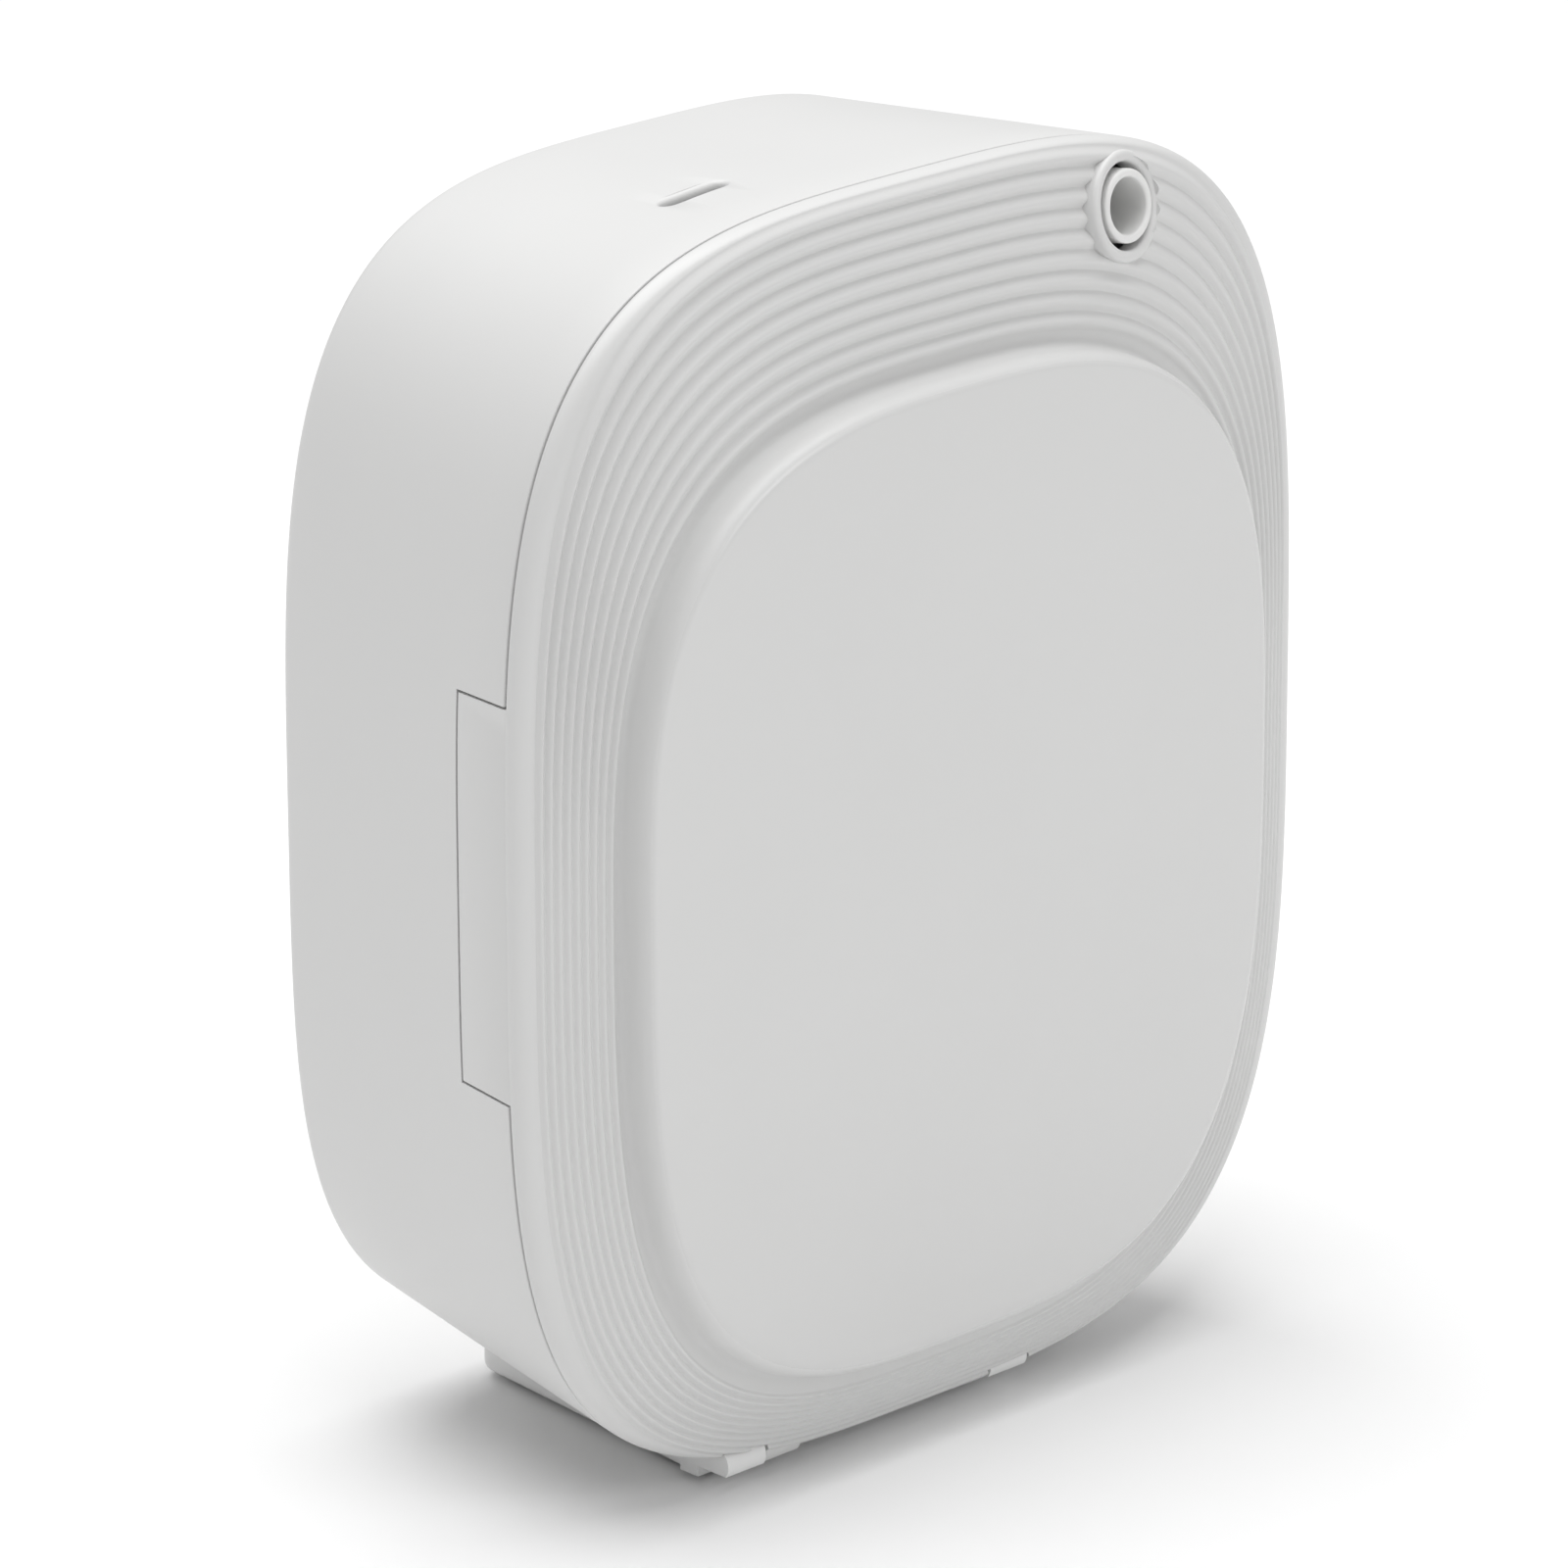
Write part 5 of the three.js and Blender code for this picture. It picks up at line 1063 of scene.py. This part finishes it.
riser = bar(1.2, (BOTTLE_X, BOTTLE_Y, HEAD_BASE - 6), UP, 14, 24)
finished(cut(joined(head, barb, spigot), riser), "atomiser", "atomiser_head", deck_white)

mat = turned([(0, 0), (20, 0), (20, 1.05), (18.6, 1.05), (18.4, 0.75), (0, 0.75)],
             (BOTTLE_X, BOTTLE_Y, SHELF_Z + 0.15), UP, 0.12, 64)
finished(mat, "bottle_pad", "bottle_mat", seal_rubber)

# %% [markdown]
# ## Screws
# Every screw is a pan head with a cross recess. The head is turned with a domed top, the recess is
# cut by two crossed, tapered blades, and a helper places one where its measured node is.

# %% Screws
def pan_screw(seat, axis, length):
    """A pan-head screw whose head sits at `seat`, with its shank along `axis`."""
    axis = Vector(axis)
    body = turned([(0, -1.6), (1.5, -1.5), (2.45, -1.1), (2.8, -0.4), (2.8, 0), (1.3, 0),
                   (1.3, length - 1.2), (0.3, length), (0, length)], seat, axis, 0.1, 40)
    turn = Vector((0, 0, 1)).rotation_difference(axis).to_matrix().to_4x4()
    crossed = []
    for angle in (0, math.pi / 2):
        blade = block((-1.45, -0.28, -2), (1.45, 0.28, -0.55))
        tip = [vertex for vertex in blade.verts if vertex.co.z > -1]
        bmesh.ops.scale(blade, vec=(0.45, 0.7, 1), verts=tip)
        spin = Matrix.Translation(seat) @ turn @ Matrix.Rotation(angle, 4, "Z")
        bmesh.ops.transform(blade, matrix=spin, verts=blade.verts)
        crossed.append(blade)
    return cut(body, *crossed)


for number, (x, z) in enumerate(BOSSES, 1):
    finished(pan_screw((x, DECK_FRONT - 0.15, z), ALONG_Y, 14), f"panel_screw_{number}",
             f"deck_screw_{number}", zinc_steel)
for number, (x, y) in enumerate(FOOT_SCREWS, 1):
    finished(pan_screw((x, y, FOOT_BOTTOM + 2.05), UP, 9), f"foot_plate_screw_{number}",
             f"foot_screw_{number}", zinc_steel)

# %% [markdown]
# ## Motor and cells
# These lie behind the deck and are seen only through gaps, but they are made to be looked at. The
# motor's can and the two cells are turned, each with a rolled groove near its end.

# %% Motor and cells
PUMP_Y, PUMP_Z = 38, -52
can = turned([(0, 0), (4, 0), (4, 2.5), (11.2, 2.5), (12, 3.3), (12, 5.4), (11.6, 5.8), (11.6, 6.6),
              (12, 7), (12, 33.7), (11.2, 34.5), (0, 34.5)], (-72.5, PUMP_Y, PUMP_Z), ALONG_X, 0.15, 72)
tags = [block((-74, PUMP_Y - 1.2, z - 0.3), (-69, PUMP_Y + 1.2, z + 0.3))
        for z in (PUMP_Z - 5, PUMP_Z + 5)]
shaft_hole = bar(1.4, (-46, PUMP_Y, PUMP_Z), ALONG_X, 9, 24)
finished(cut(joined(can, *tags), shaft_hole), "motor_can", "pump_motor", motor_steel)

CELL_RADIUS, CELL_Y = 9.2, 40
cell_lies = [((-7.5, CELL_Y, -11.5), (-1, 0, 0)), ((-71.3, CELL_Y, 9.5), ALONG_X)]
for number, (start, axis) in enumerate(cell_lies, 1):
    cell = turned([(0, 0), (CELL_RADIUS, 0), (CELL_RADIUS, 58.5), (8.8, 59.4), (8.8, 60.6),
                   (CELL_RADIUS, 61.4), (CELL_RADIUS, 63.65), (3, 63.65), (3, 63.8), (0, 63.8)],
                  start, axis, 0.06, 64)
    finished(cell, f"cell_{number}", f"battery_cell_{number}", cell_wrap)

# %% [markdown]
# ## Finishes for what stays as measured
# Small parts deep inside are the right shape already, so their measured meshes stay and only get
# their finish. The finish of each is looked up by its slot in the record.

# %% Finishes of the carried nodes
FINISH_OF_SLOT = {
    "housing_white": housing_white, "cover_white": cover_white, "deck_white": deck_white,
    "grey_plastic": grey_plastic, "black_plastic": black_plastic, "foot_rubber": pad_rubber,
    "seal_rubber": seal_rubber, "steel": zinc_steel, "motor_steel": motor_steel,
    "board_green": board_green, "lens_black": lens_black, "bottle_milky": bottle_milky,
    "hose_clear": hose_clear, "cell_wrap": cell_wrap}
carried = [name for name, node in frame["nodes"].items() if not node.hide_render]
for name in carried:
    for material_slot in frame["nodes"][name].material_slots:
        material_slot.material = FINISH_OF_SLOT[SLOTS[name]]
print("finished", len(carried), "measured parts:", ", ".join(carried))

# %% [markdown]
# ## Floor and light
# A white machine on a white floor needs light that is soft but not even, or its ribs vanish. One
# large panel overhead makes the top and the floor bright, a weaker one stands to the right of the
# camera, and a pale sky fills the rest. The floor is a plain pale sheet with a trace of mottling.

# %% Floor
def pale_floor():
    finish = Finish("pale_floor")
    pale, paler = (0.93, 0.93, 0.93, 1), (0.95, 0.95, 0.95, 1)
    finish.feed("Base Color", finish.mix(finish.noise(8, 2), pale, paler))
    finish.feed("Roughness", 0.9 + 0.05 * finish.noise(40, 2))
    return finish.material


sheet = bmesh.new()
bmesh.ops.create_grid(sheet, x_segments=1, y_segments=1, size=6)
mesh = bpy.data.meshes.new("floor")
sheet.to_mesh(mesh)
sheet.free()
mesh.materials.append(pale_floor())
floor = bpy.data.objects.new("floor", mesh)
bpy.context.scene.collection.objects.link(floor)
floor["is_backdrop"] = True
print("the floor is at z = 0")

# %% Light
def soft_panel(name, place, size, power):
    light = bpy.data.lights.new(name, "AREA")
    light.shape = "RECTANGLE"
    light.size, light.size_y = size
    light.energy = power
    made = bpy.data.objects.new(name, light)
    made.location = place
    made.rotation_euler = (Vector(place) - Vector((0, 0, 0.1))).to_track_quat("Z", "Y").to_euler()
    bpy.context.scene.collection.objects.link(made)


soft_panel("overhead_panel", (-0.1, 0.3, 2.3), (2.4, 2.4), 57)
soft_panel("front_panel", (0.5, -1.8, 1.1), (1.0, 1.0), 8)
world = bpy.data.worlds.new("sky")
world.use_nodes = True
world.node_tree.nodes["Background"].inputs["Color"].default_value = (1, 1, 1, 1)
world.node_tree.nodes["Background"].inputs["Strength"].default_value = 0.36
bpy.context.scene.world = world
bpy.context.scene.view_settings.view_transform = "Standard"
print("two soft panels and a pale sky light it")

# %% Both boxes and how far apart they are
visual_low, visual_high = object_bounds()
apart = max((visual_low - cad_low).length, (visual_high - cad_high).length)
print("largest difference", apart / MM, "mm")
